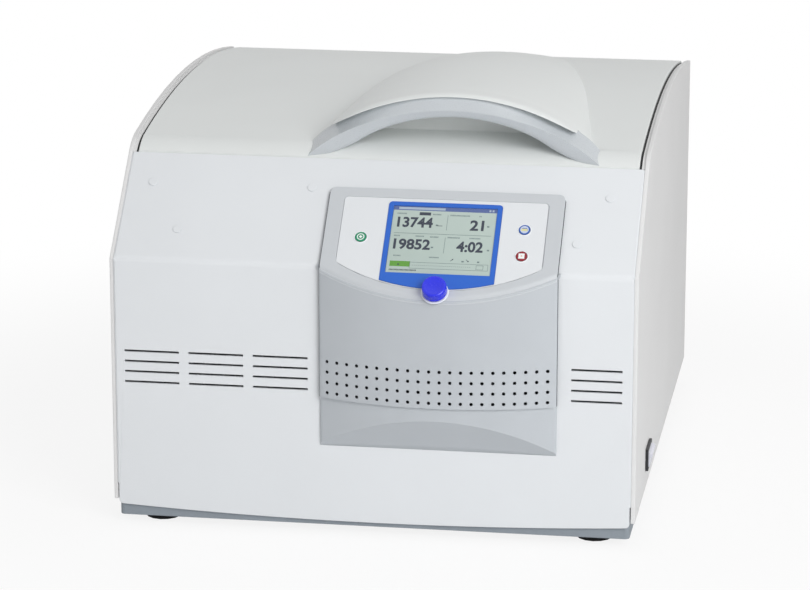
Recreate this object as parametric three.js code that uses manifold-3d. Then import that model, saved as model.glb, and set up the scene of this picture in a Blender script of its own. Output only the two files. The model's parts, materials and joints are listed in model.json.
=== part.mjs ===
// Benchtop centrifuge with a rear-hinged lid, a raised control console and a fixed-angle rotor.
// Lengths are millimetres and angles degrees. Inside the housing x runs right from its middle,
// y runs back from the face of the front panel and z is the height above the bench.

import * as THREE from 'three';
import { mergeVertices } from 'three/addons/utils/BufferGeometryUtils.js';
import Module from 'manifold-3d';

// Clearances that are shared by all pieces
const touchGap = 0.3;
const seamGap = 2;
const cutOverrun = 20;
const weldDistance = 0.0001;

// Housing
const housingWidth = 550;
const housingDepth = 630;
const sideFlangeWidth = 4.5;
const sideFlangeDepth = 12;
const sidePlateThickness = 2;
const sideSetback = 1.5;
const sideBottom = 27;
const sheetThickness = 2;
const frontSheet = 3;
const bendHeight = 289.5;
const slopeRun = 98.1;
const slopeRise = 90.7;
const frontCornerBottom = 22.6;
const frontBottomSag = 8;
const rearPanelInset = 5;
const rearPanelLip = 2;

// Crown of the lid, seen from the side: a tight front corner that runs into a wide arc
const cornerRadius = 54;
const crownRadiusShare = 2.3;
const crownStartAngle = 9.4;
const cornerSteps = 4;
const crownSteps = 10;

// Base tray and feet
const footHeight = 9.3;
const footTopRadius = 21;
const footBottomRadius = 19;
const footChamfer = 2;
const footInsetX = 39.5;
const footInsetY = 37.6;
const trayWall = 3;
const trayHeight = 32;
const traySetback = 3.3;

// Air slots in the front panel
const slotHeight = 2.3;
const slotRows = 4;
const rowPitch = 11.1;
const topRowHeight = 190.2;
const slotSpacing = 10;
const leftSlotGroups = 3;
const leftSlotEdgeGap = 8.7;
const leftSlotConsoleGap = 13.7;
const rightSlotEdgeGap = 9.5;
const rightSlotConsoleGap = 14.9;

// Round plugs in the sloping part of the front panel
const plugRadius = 4.8;
const plugProud = 0.8;
const plugStemRadius = 3;
const plugStemLength = 8;
const upperPlugRise = 96;
const lowerPlugRise = 38.5;
const leftUpperPlugInset = 26.8;
const leftLowerPlugInset = 61.2;
const middlePlugConsoleGap = 20.4;
const rightUpperPlugInset = 31.4;
const rightLowerPlugConsoleGap = 16.1;

// Console
const consoleShare = 0.12673;
const consoleHalfWidth = 122.8;
const consoleRise = 4;
const consoleTop = 96.4;
const consoleBulge = 28.5;
const consoleEdge = 4;
const consoleBottom = 97;
const creaseHeight = 151;
const creaseStep = 3;
const scoopPitch = 0.64;
const frameDepth = 3;
const coverWall = 2.6;
const openingMargin = 5;
const openingClearance = 0.5;
const collarDepth = 6;
const ledgeDepth = 2;
const bulgeSteps = 16;
const holeColumns = 22;
const holePitch = 10.91;
const holeDiameter = 3.2;
const holeSides = 6;
const overlayThickness = 0.8;
const overlayHalfWidth = 106.2;
const overlayTop = 84.3;
const overlayCorner = 3.8;
const overlaySag = 29.8;
const bezelHalfWidth = 59.2;
const bezelTop = 80.2;
const bezelCorner = -16;
const bezelSag = 9;
const bezelProud = 0.5;
const screenHalfWidth = 54;
const screenTop = 75.4;
const screenBottom = -6.6;
const screenRecess = 0.4;
const displayMargin = 6;
const displayDepth = 12;
const boardThickness = 1.6;
const boardMargin = 24;

// Keys and knob
const keyRadius = 5.8;
const keyProud = 0.9;
const keyThickness = 1.2;
const keyTravel = 0.6;
const keyStemRadius = 3;
const keyStemLength = 6;
const keyClearance = 0.4;
const keyPlaces = {
  start_key: [-84.1, 34.8],
  lid_key: [84.1, 50.9],
  stop_key: [84.1, 18.7],
};
const knobPlace = -28.2;
const knobRadius = 13;
const knobHeight = 10.8;
const knobLift = 1.5;
const knobDome = 1.6;
const knobShaftRadius = 3;
const knobShaftFlat = 2.2;
const knobShaftLength = 20;
const encoderSize = 15;
const encoderDepth = 14;
const encoderWall = 2;
const encoderDiscRadius = 5.5;
const encoderDiscThickness = 3;
const fitClearance = 0.4;

// Deck, chamber and its armour
const deckDrop = 28.2;
const deckLap = 3.1;
const chamberRadiusShare = 0.27;
const chamberSideGap = 12.7;
const chamberLockGap = 17.9;
const chamberFloorShare = 0.5341;
const chamberWall = 2;
const chamberCorner = 24;
const bowlRimWidth = 16;
const bowlSides = 40;
const sealHeight = 10.8;
const sealWidth = 11;
const sealInset = 3;
const sealSlopeShare = 0.25;
const armourThickness = 10;
const armourInset = 6;
const armourLift = 8;

// Motor and rotor
const motorRadius = 62;
const motorFlangeRadius = 92;
const motorFlangeThickness = 8;
const motorGap = 22;
const motorWall = 10;
const motorEndWall = 20;
const mountRadius = 14;
const mountHeight = 26;
const mountCircle = 77;
const mountCount = 3;
const shaftRadius = 9;
const shaftCover = 16;
const shaftEndLift = 5.1;
const armatureRadius = 42;
const armatureGap = 6;
const bearingRadius = 21;
const bearingWidth = 13;
const shaftHoleRadius = 16;
const roundSides = 28;
const rotorLift = 16;
const rotorRadiusShare = 0.6114;
const rotorHeightShare = 0.904;
const rotorShoulderShare = 0.2885;
const rotorTopShare = 0.731;
const rotorHubShare = 0.4425;
const rotorHubDepth = 16;
const rotorSides = 35;
const wellCount = 6;
const wellRadiusShare = 0.1423;
const wellLengthShare = 0.846;
const wellCircleShare = 0.4327;
const wellTipShare = 0.33;
const wellAngle = 25;
const wellSides = 12;
const rotorLidThickness = 7;
const rotorLidRim = 5;
const lidKnobRadius = 19;
const lidKnobHeight = 24;
const lidKnobNeck = 10;
const lidKnobNeckHeight = 8;
const lidKnobGrooves = 8;
const lidKnobGrooveRadius = 4;

// Lid
const lidLift = 13;
const lidSkin = 3;
const lidFrontGap = 1;
const lidSideGap = 5;
const lidRearGap = 2;
const innerPlateThickness = 3;
const innerPlateLift = 1;
const innerPlateRearGap = 46;
const blisterSetback = 26.2;
const blisterRearGap = 6;
const blisterHalfWidth = 145;
const blisterSteps = 16;
const blisterRoundness = 0.8;
const blisterSink = 2;
const blisterStationShares = [0, 0.1, 0.2, 0.36, 0.52, 0.68, 0.84, 1];
const blisterWidthShares = [1, 0.94, 0.89, 0.81, 0.71, 0.59, 0.46, 0.25];
const blisterRiseShares = [1, 0.92, 0.79, 0.6, 0.43, 0.3, 0.17, 0.035];
const blisterRise = 57;
const fingerGapHalfWidth = 133;
const fingerGapRise = 40;
const fingerGapLift = 4.8;
const fingerGapDepth = 66.9;
const gripSetback = 1.9;
const gripHalfWidth = 152;
const gripRise = 64.5;
const gripSteps = 20;

// Hinge
const hingeRearGap = 14;
const hingeLift = 11;
const hingeRodRadius = 4;
const hingeBossRadius = 7;
const hingeRunningGap = 0.5;
const hingeSides = 16;
const hingeArmInset = 71.5;
const hingeArmWidth = 6;
const hingeSpacing = 12;
const hingeArmLength = 96;
const hingeArmNose = 8;
const hingeArmRoot = 16;
const bracketFootLength = 44;
const bracketHeelLength = 12;
const bracketRearGap = 16;
const bracketLean = 2;
const bracketKnee = 14;
const bracketHeadCorner = 3.5;
const bracketFootHeight = 4;
const bracketFootWidth = 26;
const rodOverhang = 5;

// Gas spring
const springInset = 20.5;
const springBaseSetback = 16;
const springBaseDrop = 32;
const studBack = 150;
const studDrop = 32;
const springTubeRadius = 7;
const springTubeLength = 92;
const springRodRadius = 3.2;
const springEyeRadius = 6;
const springEyeWidth = 7;
const springPinRadius = 2.5;
const springSides = 12;
const springBracketWidth = 2.5;
const springBracketReach = 11;
const springTubeSetback = 12;
const springNeckStart = 4.8;
const springRodEngaged = 69;
const springSlotReach = 164;
const springSlotRearGap = 5;
const springSlotHalfWidth = 11.5;

// Lid lock
const lockSetback = 8;
const lockLength = 52;
const lockHalfWidth = 22;
const lockDepth = 54;
const lockWall = 3;
const hookPivotSetback = 31;
const hookPivotDrop = 40;
const hookBossRadius = 6;
const hookPinRadius = 3;
const hookHalfWidth = 4;
const hookArmLength = 25;
const hookArmFront = 7;
const hookArmRear = 4;
const hookNoseReach = 20;
const hookNoseHeight = 4.5;
const hookAngle = 30;
const hookSides = 12;
const strikerSetback = 15;
const strikerDrop = 23;
const strikerHalfWidth = 12;
const strikerWire = 5;
const strikerPadLength = 24;
const strikerPadThickness = 3;
const lockSlotMargin = 6;

// Mains switch on the right side
const switchY = 136.3;
const switchZ = 60.1;
const switchLength = 42.5;
const switchHeight = 23.6;
const switchFrameProud = 3.2;
const switchFrameRim = 2.6;
const switchBodyDepth = 26;
const switchBodyMargin = 1;
const switchWall = 1.2;
const rockerRadius = 8.6;
const rockerSeat = 2.5;
const rockerRaisedAngle = 38;
const rockerSwing = 24;
const rockerBackAngle = 110;
const rockerValley = 3.6;
const rockerPinRadius = 1.3;
const rockerEndSteps = 4;

// Rear panel: fan, grille and mains inlet
const fanInset = 80.5;
const fanDrop = 152;
const fanSize = 120;
const fanDepth = 38;
const fanRadius = 56;
const fanHubRadius = 22;
const fanBlades = 7;
const fanBladeThickness = 3;
const fanBladeDepth = 22;
const fanBladeGap = 2.5;
const fanBladePitch = 45;
const fanSpokeWidth = 6;
const fanSpokeDepth = 5;
const grilleBars = 11;
const grilleSlotShare = 0.55;
const inletInset = 80.5;
const inletZ = 66;
const inletWidth = 50;
const inletHeight = 30;
const inletFlange = 3;
const inletBodyWidth = 28;
const inletBodyHeight = 21;
const inletDepth = 26;
const inletSocketWidth = 24;
const inletSocketHeight = 16.5;
const inletSocketDepth = 18;
const inletPinWidth = 2;
const inletPinHeight = 4;
const inletPinLength = 14;
const inletPinSpacing = 7;
const inletPinDrop = 1.2;
const inletEarthRise = 1.6;

// Drive electronics on the tray floor
const inverterFront = 160;
const inverterLength = 250;
const inverterSideGap = 13.5;
const inverterWidth = 118;
const inverterHeight = 70;
const inverterFinHeight = 26;
const inverterFins = 9;
const inverterFinThickness = 3;

// Sizes worked out from the ones above
const wasm = await Module();
wasm.setup();
const slope = Math.atan2(slopeRise, slopeRun);
const slopeTopZ = bendHeight + slopeRise;
const sideInner = housingWidth / 2 - sideFlangeWidth;
const frameHalf = sideInner - touchGap;
const panelHalf = sideInner - seamGap / 2;
const lidHalf = sideInner - lidSideGap;
const trayFloorTop = footHeight + trayWall;
const trayHalf = panelHalf;
const rearPanelY = housingDepth - rearPanelInset;
const deckTop = slopeTopZ - deckDrop;
const deckBottom = deckTop - sheetThickness;
const deckFront = slopeRun - deckLap;
const rearPanelTop = deckTop + rearPanelLip;
const consoleX = housingWidth * consoleShare;
const consoleLeft = consoleX - consoleHalfWidth;
const consoleRight = consoleX + consoleHalfWidth;
const crownRadius = housingDepth * crownRadiusShare;
const crownStart = THREE.MathUtils.degToRad(crownStartAngle);
const cornerY = slopeRun + cornerRadius * Math.sin(slope);
const cornerZ = slopeTopZ - cornerRadius * Math.cos(slope);
const crownY = cornerY + (crownRadius - cornerRadius) * Math.sin(crownStart);
const crownZ = cornerZ - (crownRadius - cornerRadius) * Math.cos(crownStart);
const overlayFace = consoleRise;
const overlayBack = overlayFace - overlayThickness;
const overlaySeat = overlayBack - touchGap;
const openingHalf = consoleHalfWidth - openingMargin;
const openingTop = consoleTop - openingMargin;
const openingBottom = consoleBottom + openingMargin;
const lockFront = deckFront + lockSetback;
const lockRear = lockFront + lockLength;
const hookPivotY = lockFront + hookPivotSetback;
const hookPivotZ = deckTop - hookPivotDrop;
const strikerY = lockFront + strikerSetback;
const strikerZ = deckTop - strikerDrop;
const chamberRadius = housingDepth * chamberRadiusShare;
const bowlRimRadius = chamberRadius + chamberWall + bowlRimWidth;
const chamberX = sideInner - chamberSideGap - bowlRimRadius;
const chamberY = lockRear + chamberLockGap + chamberRadius + chamberWall;
const chamberFloor = deckTop * chamberFloorShare;
const armourBottom = chamberFloor + armourLift;
const rimTop = deckTop + touchGap + chamberWall;
const motorBottom = trayFloorTop + mountHeight + 2 * touchGap;
const motorTop = chamberFloor - motorGap;
const rotorRadius = chamberRadius * rotorRadiusShare;
const rotorTopRadius = rotorRadius * rotorTopShare;
const rotorBottom = chamberFloor + rotorLift;
const rotorTop = rotorBottom + rotorRadius * rotorHeightShare;
const shaftTop = rotorTop - shaftCover;
const shaftBottom = motorBottom + shaftEndLift;
const lidBottom = deckTop + lidLift;
const blisterFront = slopeRun + blisterSetback;
const blisterRear = housingDepth - blisterRearGap;
const gripFront = slopeRun + gripSetback;
const fingerGapBase = slopeTopZ + fingerGapLift;
const fingerGapRear = slopeRun + fingerGapDepth;
const innerPlateRear = housingDepth - innerPlateRearGap;
const hingeY = housingDepth - hingeRearGap;
const hingeZ = lidBottom + hingeLift;
const hingeArmX = sideInner - hingeArmInset;
const springX = springInset - sideInner;
const springBaseY = hingeY - springBaseSetback;
const springBaseZ = deckTop - springBaseDrop;
const fanX = fanInset - sideInner;
const fanZ = deckTop - fanDrop;
const inletX = sideInner - inletInset;
const innerPlateZ = lidBottom + innerPlateLift;
const rockerPivotX = housingWidth / 2 + switchFrameProud - rockerSeat;
const rockerReach = switchFrameProud - rockerSeat
  + rockerRadius * Math.cos(THREE.MathUtils.degToRad(rockerRaisedAngle));
const knobReach = (knobRadius - knobPlace) * Math.cos(slope)
  + (consoleRise + knobLift + knobHeight - knobDome) * Math.sin(slope);

const plugPlaces = {
  left_upper: [leftUpperPlugInset - panelHalf, upperPlugRise],
  left_lower: [leftLowerPlugInset - panelHalf, lowerPlugRise],
  middle_upper: [consoleLeft - middlePlugConsoleGap, upperPlugRise],
  right_upper: [panelHalf - rightUpperPlugInset, upperPlugRise],
  right_lower: [consoleRight + rightLowerPlugConsoleGap, lowerPlugRise],
};

// Colours and finishes
const materials = {
  housing: { color: 0xe2e4e7, roughness: 0.5, metalness: 0.0 },
  side: { color: 0xdcdddd, roughness: 0.5, metalness: 0.0 },
  lid: { color: 0xd6d9d8, roughness: 0.5, metalness: 0.0 },
  tray: { color: 0x8a9299, roughness: 0.6, metalness: 0.1 },
  rubber: { color: 0x1b1c1e, roughness: 0.9, metalness: 0.0 },
  console: { color: 0xc8ccd0, roughness: 0.5, metalness: 0.0 },
  cover: { color: 0xbec3c8, roughness: 0.55, metalness: 0.0 },
  grip: { color: 0xb4b8bd, roughness: 0.45, metalness: 0.0 },
  overlay: { color: 0xeceef0, roughness: 0.4, metalness: 0.0 },
  bezel: { color: 0x1f62c8, roughness: 0.4, metalness: 0.0 },
  screen: { color: 0xb4c4bd, roughness: 0.2, metalness: 0.0 },
  knob: { color: 0x2434d8, roughness: 0.35, metalness: 0.0 },
  start: { color: 0x1f8f68, roughness: 0.4, metalness: 0.0 },
  open: { color: 0x2f5fb4, roughness: 0.4, metalness: 0.0 },
  stop: { color: 0x8e1f2c, roughness: 0.4, metalness: 0.0 },
  steel: { color: 0xb9bcc0, roughness: 0.35, metalness: 1.0 },
  zinc: { color: 0xa9adb2, roughness: 0.5, metalness: 0.9 },
  aluminium: { color: 0xa6a9ad, roughness: 0.45, metalness: 0.9 },
  rotor: { color: 0x4a4d52, roughness: 0.4, metalness: 0.8 },
  dark: { color: 0x24262a, roughness: 0.6, metalness: 0.0 },
  board: { color: 0x2c5e3c, roughness: 0.6, metalness: 0.0 },
  rocker: { color: 0xe8e9ea, roughness: 0.35, metalness: 0.0 },
};

// Geometry helpers

function toSolid(geometry) {
  const bare = geometry.clone();
  bare.deleteAttribute('normal');
  bare.deleteAttribute('uv');
  const merged = mergeVertices(bare, weldDistance);
  const index = merged.index.array;
  const triVerts = [];
  for (let i = 0; i < index.length; i += 3) {
    const [a, b, c] = index.slice(i, i + 3);
    if (a !== b && b !== c && c !== a) triVerts.push(a, b, c);
  }
  return new wasm.Manifold(new wasm.Mesh({
    numProp: 3,
    vertProperties: new Float32Array(merged.attributes.position.array),
    triVerts: new Uint32Array(triVerts),
  }));
}

function toGeometry(body) {
  const mesh = body.getMesh();
  const geometry = new THREE.BufferGeometry();
  geometry.setAttribute('position', new THREE.BufferAttribute(mesh.vertProperties, 3));
  geometry.setIndex(new THREE.BufferAttribute(mesh.triVerts, 1));
  geometry.computeVertexNormals();
  return geometry;
}

function block(x0, x1, y0, y1, z0, z1) {
  const geometry = new THREE.BoxGeometry(x1 - x0, y1 - y0, z1 - z0);
  geometry.translate((x0 + x1) / 2, (y0 + y1) / 2, (z0 + z1) / 2);
  return toSolid(geometry);
}

function extruded(points, depth) {
  const shape = new THREE.Shape(points.map(([a, b]) => new THREE.Vector2(a, b)));
  return new THREE.ExtrudeGeometry(shape, { depth, bevelEnabled: false });
}

const axisX = new THREE.Vector3(1, 0, 0);
const axisY = new THREE.Vector3(0, 1, 0);
const axisZ = new THREE.Vector3(0, 0, 1);

// An outline in (y, z), carried from x0 to x1
function alongX(points, x0, x1) {
  const geometry = extruded(points, x1 - x0);
  geometry.applyMatrix4(new THREE.Matrix4().makeBasis(axisY, axisZ, axisX));
  geometry.translate(x0, 0, 0);
  return toSolid(geometry);
}

// An outline in (x, z), carried from y0 to y1
function alongY(points, y0, y1) {
  const geometry = extruded(points, y1 - y0);
  geometry.applyMatrix4(new THREE.Matrix4().makeBasis(axisX, axisZ, axisY.clone().negate()));
  geometry.translate(0, y1, 0);
  return toSolid(geometry);
}

// An outline in (x, y), carried from z0 to z1
function alongZ(points, z0, z1) {
  const geometry = extruded(points, z1 - z0);
  geometry.translate(0, 0, z0);
  return toSolid(geometry);
}

function circle(radius, sides, a = 0, b = 0) {
  return Array.from({ length: sides }, (_, i) => {
    const angle = (2 * Math.PI * (i + 1 / 2)) / sides;
    return [a + radius * Math.cos(angle), b + radius * Math.sin(angle)];
  });
}

function rectangle(a0, a1, b0, b1) {
  return [[a0, b0], [a1, b0], [a1, b1], [a0, b1]];
}

// A closed outline in (radius, z), turned round a vertical axis
function turned(profile, sides, x = 0, y = 0) {
  const points = [...profile, profile[0]].map(([r, z]) => new THREE.Vector2(r, z));
  const geometry = new THREE.LatheGeometry(points, sides);
  geometry.rotateX(Math.PI / 2);
  geometry.translate(x, y, 0);
  return toSolid(geometry);
}

// An arc over the chord from -half to +half, which rises by `rise` in the middle
function bow(half, rise, steps) {
  const radius = (half * half + rise * rise) / (2 * Math.abs(rise));
  const reach = Math.asin(half / radius);
  return Array.from({ length: steps + 1 }, (_, i) => {
    const angle = reach * ((2 * i) / steps - 1);
    const height = radius * Math.cos(angle) - radius + Math.abs(rise);
    return [radius * Math.sin(angle), Math.sign(rise) * height];
  });
}

function shifted(points, a, b) {
  return points.map(([u, v]) => [u + a, v + b]);
}

function joined(bodies) {
  return bodies.reduce((sum, body) => sum.add(body));
}

function cut(body, tools) {
  return tools.reduce((rest, tool) => rest.subtract(tool), body);
}

// Places on the sloping panel: x from the console's middle, s up the slope, n outwards from it
const slopePlace = new THREE.Matrix4()
  .makeTranslation(consoleX, 0, bendHeight)
  .multiply(new THREE.Matrix4().makeRotationX(slope));

function onSlope(body) {
  return body.transform(slopePlace.elements);
}

function slopeZ(y, inset) {
  return bendHeight + y * Math.tan(slope) - inset / Math.cos(slope);
}

function arcPoint(centreY, centreZ, radius, angle) {
  return [centreY - radius * Math.sin(angle), centreZ + radius * Math.cos(angle)];
}

// The line over the top of the lid, from startY back to rearY, set in by `inset`
function crownLine(startY, rearY, inset) {
  const tight = cornerRadius - inset;
  const wide = crownRadius - inset;
  const first = Math.asin((cornerY - startY) / tight);
  const last = Math.asin((crownY - rearY) / wide);
  const points = [];
  for (let i = 0; i < cornerSteps; i += 1) {
    const angle = first + ((crownStart - first) * i) / cornerSteps;
    points.push(arcPoint(cornerY, cornerZ, tight, angle));
  }
  for (let i = 0; i <= crownSteps; i += 1) {
    const angle = crownStart + ((last - crownStart) * i) / crownSteps;
    points.push(arcPoint(crownY, crownZ, wide, angle));
  }
  return points;
}

function crownHeight(y) {
  const angle = Math.asin((crownY - y) / crownRadius);
  if (angle < crownStart) return crownZ + crownRadius * Math.cos(angle);
  return cornerZ + cornerRadius * Math.cos(Math.asin((cornerY - y) / cornerRadius));
}

// Housing

function baseTray() {
  const rear = rearPanelY - sheetThickness - touchGap;
  const outer = block(-trayHalf, trayHalf, traySetback, rear, footHeight, footHeight + trayHeight);
  const inner = block(trayWall - trayHalf, trayHalf - trayWall, traySetback + trayWall, rear - trayWall,
    trayFloorTop, footHeight + trayHeight + cutOverrun);
  return outer.subtract(inner);
}

function foot() {
  return turned([[0, 0], [footBottomRadius, 0], [footTopRadius, footHeight - footChamfer],
    [footTopRadius, footHeight], [0, footHeight]], roundSides / 2);
}

// Slots fill the width left of the console in groups, and the width right of it in one
function airSlots() {
  const left = leftSlotEdgeGap - panelHalf;
  const leftWidth = consoleLeft - leftSlotConsoleGap - left;
  const slotLength = (leftWidth - (leftSlotGroups - 1) * slotSpacing) / leftSlotGroups;
  const slots = [];
  for (let row = 0; row < slotRows; row += 1) {
    const low = topRowHeight - row * rowPitch - slotHeight / 2;
    const high = low + slotHeight;
    for (let group = 0; group < leftSlotGroups; group += 1) {
      const x = left + group * (slotLength + slotSpacing);
      slots.push(block(x, x + slotLength, -cutOverrun, cutOverrun, low, high));
    }
    slots.push(block(consoleRight + rightSlotConsoleGap, panelHalf - rightSlotEdgeGap,
      -cutOverrun, cutOverrun, low, high));
  }
  return slots;
}

function frontPanel() {
  const low = frontCornerBottom - frontBottomSag;
  const flangeFoot = deckTop + touchGap;
  const flangeFront = slopeRun - frontSheet;
  const section = [[0, low], [0, bendHeight], [slopeRun, slopeTopZ], [slopeRun, flangeFoot],
    [flangeFront, flangeFoot], [flangeFront, slopeZ(flangeFront, frontSheet)],
    [frontSheet, slopeZ(frontSheet, frontSheet)], [frontSheet, low]];
  const lowerEdge = shifted(bow(panelHalf, -frontBottomSag, bulgeSteps), 0, frontCornerBottom);
  const belowEdge = [...lowerEdge, [panelHalf + cutOverrun, frontCornerBottom],
    [panelHalf + cutOverrun, low - cutOverrun], [-panelHalf - cutOverrun, low - cutOverrun],
    [-panelHalf - cutOverrun, frontCornerBottom]];
  const opening = block(consoleX - openingHalf, consoleX + openingHalf, -cutOverrun, cutOverrun,
    openingBottom, bendHeight);
  const slopeOpening = onSlope(block(-openingHalf, openingHalf, -cutOverrun, openingTop,
    -cutOverrun, cutOverrun));
  const plugHoles = Object.values(plugPlaces).map(([x, s]) => onSlope(
    alongZ(circle(plugStemRadius + fitClearance, holeSides * 2, x - consoleX, s), -cutOverrun, cutOverrun)));
  return cut(alongX(section, -panelHalf, panelHalf),
    [alongY(belowEdge, -cutOverrun, cutOverrun), opening, slopeOpening, ...airSlots(), ...plugHoles]);
}

function sideOutline(inset) {
  const rear = housingDepth - inset;
  const setIn = sideSetback + inset;
  const slopeEnd = cornerY - (cornerRadius - setIn) * Math.sin(slope);
  return [[setIn, sideBottom + inset], [setIn, slopeZ(setIn, setIn)], ...crownLine(slopeEnd, rear, setIn),
    [rear, sideBottom + inset]];
}

function sideCover(side) {
  const outer = housingWidth / 2;
  const plate = alongX(sideOutline(0), sideInner, outer);
  const pocket = alongX(sideOutline(sideFlangeDepth), sideInner - cutOverrun, outer - sidePlateThickness);
  const cover = plate.subtract(pocket);
  if (side < 0) return cover.mirror([1, 0, 0]);
  return cover.subtract(block(sideInner - cutOverrun, outer + cutOverrun,
    switchY - switchLength / 2 + switchBodyMargin, switchY + switchLength / 2 - switchBodyMargin,
    switchZ - switchHeight / 2 + switchBodyMargin, switchZ + switchHeight / 2 - switchBodyMargin));
}

function rearPanel() {
  const plate = block(-frameHalf, frameHalf, rearPanelY - sheetThickness, rearPanelY,
    footHeight, rearPanelTop);
  const pitch = (2 * fanRadius) / grilleBars;
  const slots = [];
  for (let i = 0; i < grilleBars; i += 1) {
    const offset = -fanRadius + (i + 1 / 2) * pitch;
    const reach = Math.sqrt(fanRadius * fanRadius - offset * offset);
    const half = (pitch * grilleSlotShare) / 2;
    slots.push(block(fanX - reach, fanX + reach, rearPanelY - cutOverrun, rearPanelY + cutOverrun,
      fanZ + offset - half, fanZ + offset + half));
  }
  const holeHalf = inletBodyWidth / 2 + fitClearance;
  const holeRise = inletBodyHeight / 2 + fitClearance;
  const inletHole = block(inletX - holeHalf, inletX + holeHalf, rearPanelY - cutOverrun,
    rearPanelY + cutOverrun, inletZ - holeRise, inletZ + holeRise);
  return cut(plate, [...slots, inletHole]);
}

function topDeck() {
  const rear = rearPanelY - sheetThickness - touchGap;
  const plate = block(-frameHalf, frameHalf, deckFront, rear, deckBottom, deckTop);
  const well = alongZ(circle(chamberRadius + chamberWall + seamGap, bowlSides, chamberX, chamberY),
    deckBottom - cutOverrun, deckTop + cutOverrun);
  const slotHalf = strikerHalfWidth + lockSlotMargin;
  const slotReach = strikerWire + lockSlotMargin;
  const lockSlot = block(consoleX - slotHalf, consoleX + slotHalf, strikerY - slotReach,
    strikerY + slotReach, deckBottom - cutOverrun, deckTop + cutOverrun);
  const springSlot = block(springX - springSlotHalfWidth, springX + springSlotHalfWidth,
    hingeY - springSlotReach, hingeY - springSlotRearGap, deckBottom - cutOverrun, deckTop + cutOverrun);
  return cut(plate, [well, lockSlot, springSlot]);
}

// Chamber

function chamberBowl() {
  const outer = chamberRadius + chamberWall;
  const low = chamberFloor - chamberWall;
  const underRim = rimTop - chamberWall;
  return turned([[shaftHoleRadius, low], [outer - chamberCorner, low], [outer, low + chamberCorner],
    [outer, underRim], [bowlRimRadius, underRim], [bowlRimRadius, rimTop], [chamberRadius, rimTop],
    [chamberRadius, chamberFloor + chamberCorner], [chamberRadius - chamberCorner, chamberFloor],
    [shaftHoleRadius, chamberFloor]], bowlSides, chamberX, chamberY);
}

function chamberSeal() {
  const inner = chamberRadius + sealInset;
  const outer = inner + sealWidth;
  const draft = sealWidth * sealSlopeShare;
  const low = rimTop + touchGap;
  return turned([[inner, low], [outer, low], [outer - draft, low + sealHeight],
    [inner + draft, low + sealHeight]], bowlSides, chamberX, chamberY);
}

function armourRing() {
  const inner = chamberRadius + chamberWall + armourInset;
  const section = rectangle(inner, inner + armourThickness, armourBottom, deckBottom - touchGap);
  return turned(section, bowlSides, chamberX, chamberY);
}

// Drive

function motorMount(index) {
  const angle = (2 * Math.PI * index) / mountCount + Math.PI / 2;
  const x = chamberX + mountCircle * Math.cos(angle);
  const y = chamberY + mountCircle * Math.sin(angle);
  const waist = mountRadius - seamGap;
  const low = trayFloorTop + touchGap;
  const high = low + mountHeight;
  return turned([[0, low], [mountRadius, low], [waist, (low + high) / 2], [mountRadius, high], [0, high]],
    holeSides * 2, x, y);
}

function motorHousing() {
  const inner = motorRadius - motorWall;
  const seat = bearingRadius + touchGap;
  const throat = shaftRadius + armatureGap;
  const lowEnd = motorBottom + motorEndWall;
  const highEnd = motorTop - motorEndWall;
  return turned([[throat, motorBottom], [motorFlangeRadius, motorBottom],
    [motorFlangeRadius, motorBottom + motorFlangeThickness],
    [motorRadius, motorBottom + motorFlangeThickness],
    [motorRadius, motorTop], [throat, motorTop], [throat, highEnd + bearingWidth + touchGap],
    [seat, highEnd + bearingWidth + touchGap], [seat, highEnd], [inner, highEnd], [inner, lowEnd],
    [seat, lowEnd], [seat, lowEnd - bearingWidth - touchGap], [throat, lowEnd - bearingWidth - touchGap]],
  roundSides, chamberX, chamberY);
}

function bearing(low) {
  const inner = shaftRadius + touchGap;
  return turned([[inner, low], [bearingRadius, low], [bearingRadius, low + bearingWidth],
    [inner, low + bearingWidth]], roundSides, chamberX, chamberY);
}

function motorShaft() {
  const low = motorBottom + motorEndWall + armatureGap;
  const high = motorTop - motorEndWall - armatureGap;
  return turned([[0, shaftBottom], [shaftRadius, shaftBottom], [shaftRadius, low], [armatureRadius, low],
    [armatureRadius, high], [shaftRadius, high], [shaftRadius, shaftTop], [0, shaftTop]],
  roundSides, chamberX, chamberY);
}

function rotorBody() {
  const bore = shaftRadius + touchGap;
  const hubRadius = rotorRadius * rotorHubShare;
  const shoulder = rotorBottom + rotorRadius * rotorShoulderShare;
  const blank = turned([[bore, rotorBottom + rotorHubDepth], [hubRadius, rotorBottom + rotorHubDepth],
    [hubRadius + rotorHubDepth, rotorBottom], [rotorRadius, rotorBottom], [rotorRadius, shoulder],
    [rotorTopRadius, rotorTop], [0, rotorTop], [0, shaftTop + touchGap], [bore, shaftTop + touchGap]],
  rotorSides, chamberX, chamberY);
  const tilt = THREE.MathUtils.degToRad(wellAngle);
  const wellRadius = rotorRadius * wellRadiusShare;
  const wellLength = rotorRadius * wellLengthShare;
  const wellMouthCircle = rotorRadius * wellCircleShare;
  const wells = Array.from({ length: wellCount }, (_, i) => {
    const well = turned([[0, -wellLength], [wellRadius * wellTipShare, -wellLength],
      [wellRadius, -wellLength + wellRadius], [wellRadius, cutOverrun], [0, cutOverrun]], wellSides);
    const place = new THREE.Matrix4().makeTranslation(chamberX, chamberY, rotorTop)
      .multiply(new THREE.Matrix4().makeRotationZ((2 * Math.PI * i) / wellCount))
      .multiply(new THREE.Matrix4().makeTranslation(wellMouthCircle, 0, 0))
      .multiply(new THREE.Matrix4().makeRotationY(-tilt));
    return well.transform(place.elements);
  });
  return cut(blank, wells);
}

function rotorLid() {
  const low = rotorTop + touchGap;
  const high = low + rotorLidThickness;
  return turned([[0, low], [rotorTopRadius, low], [rotorTopRadius, low + rotorLidRim],
    [rotorTopRadius - rotorLidRim, high], [0, high]], roundSides, chamberX, chamberY);
}

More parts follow.
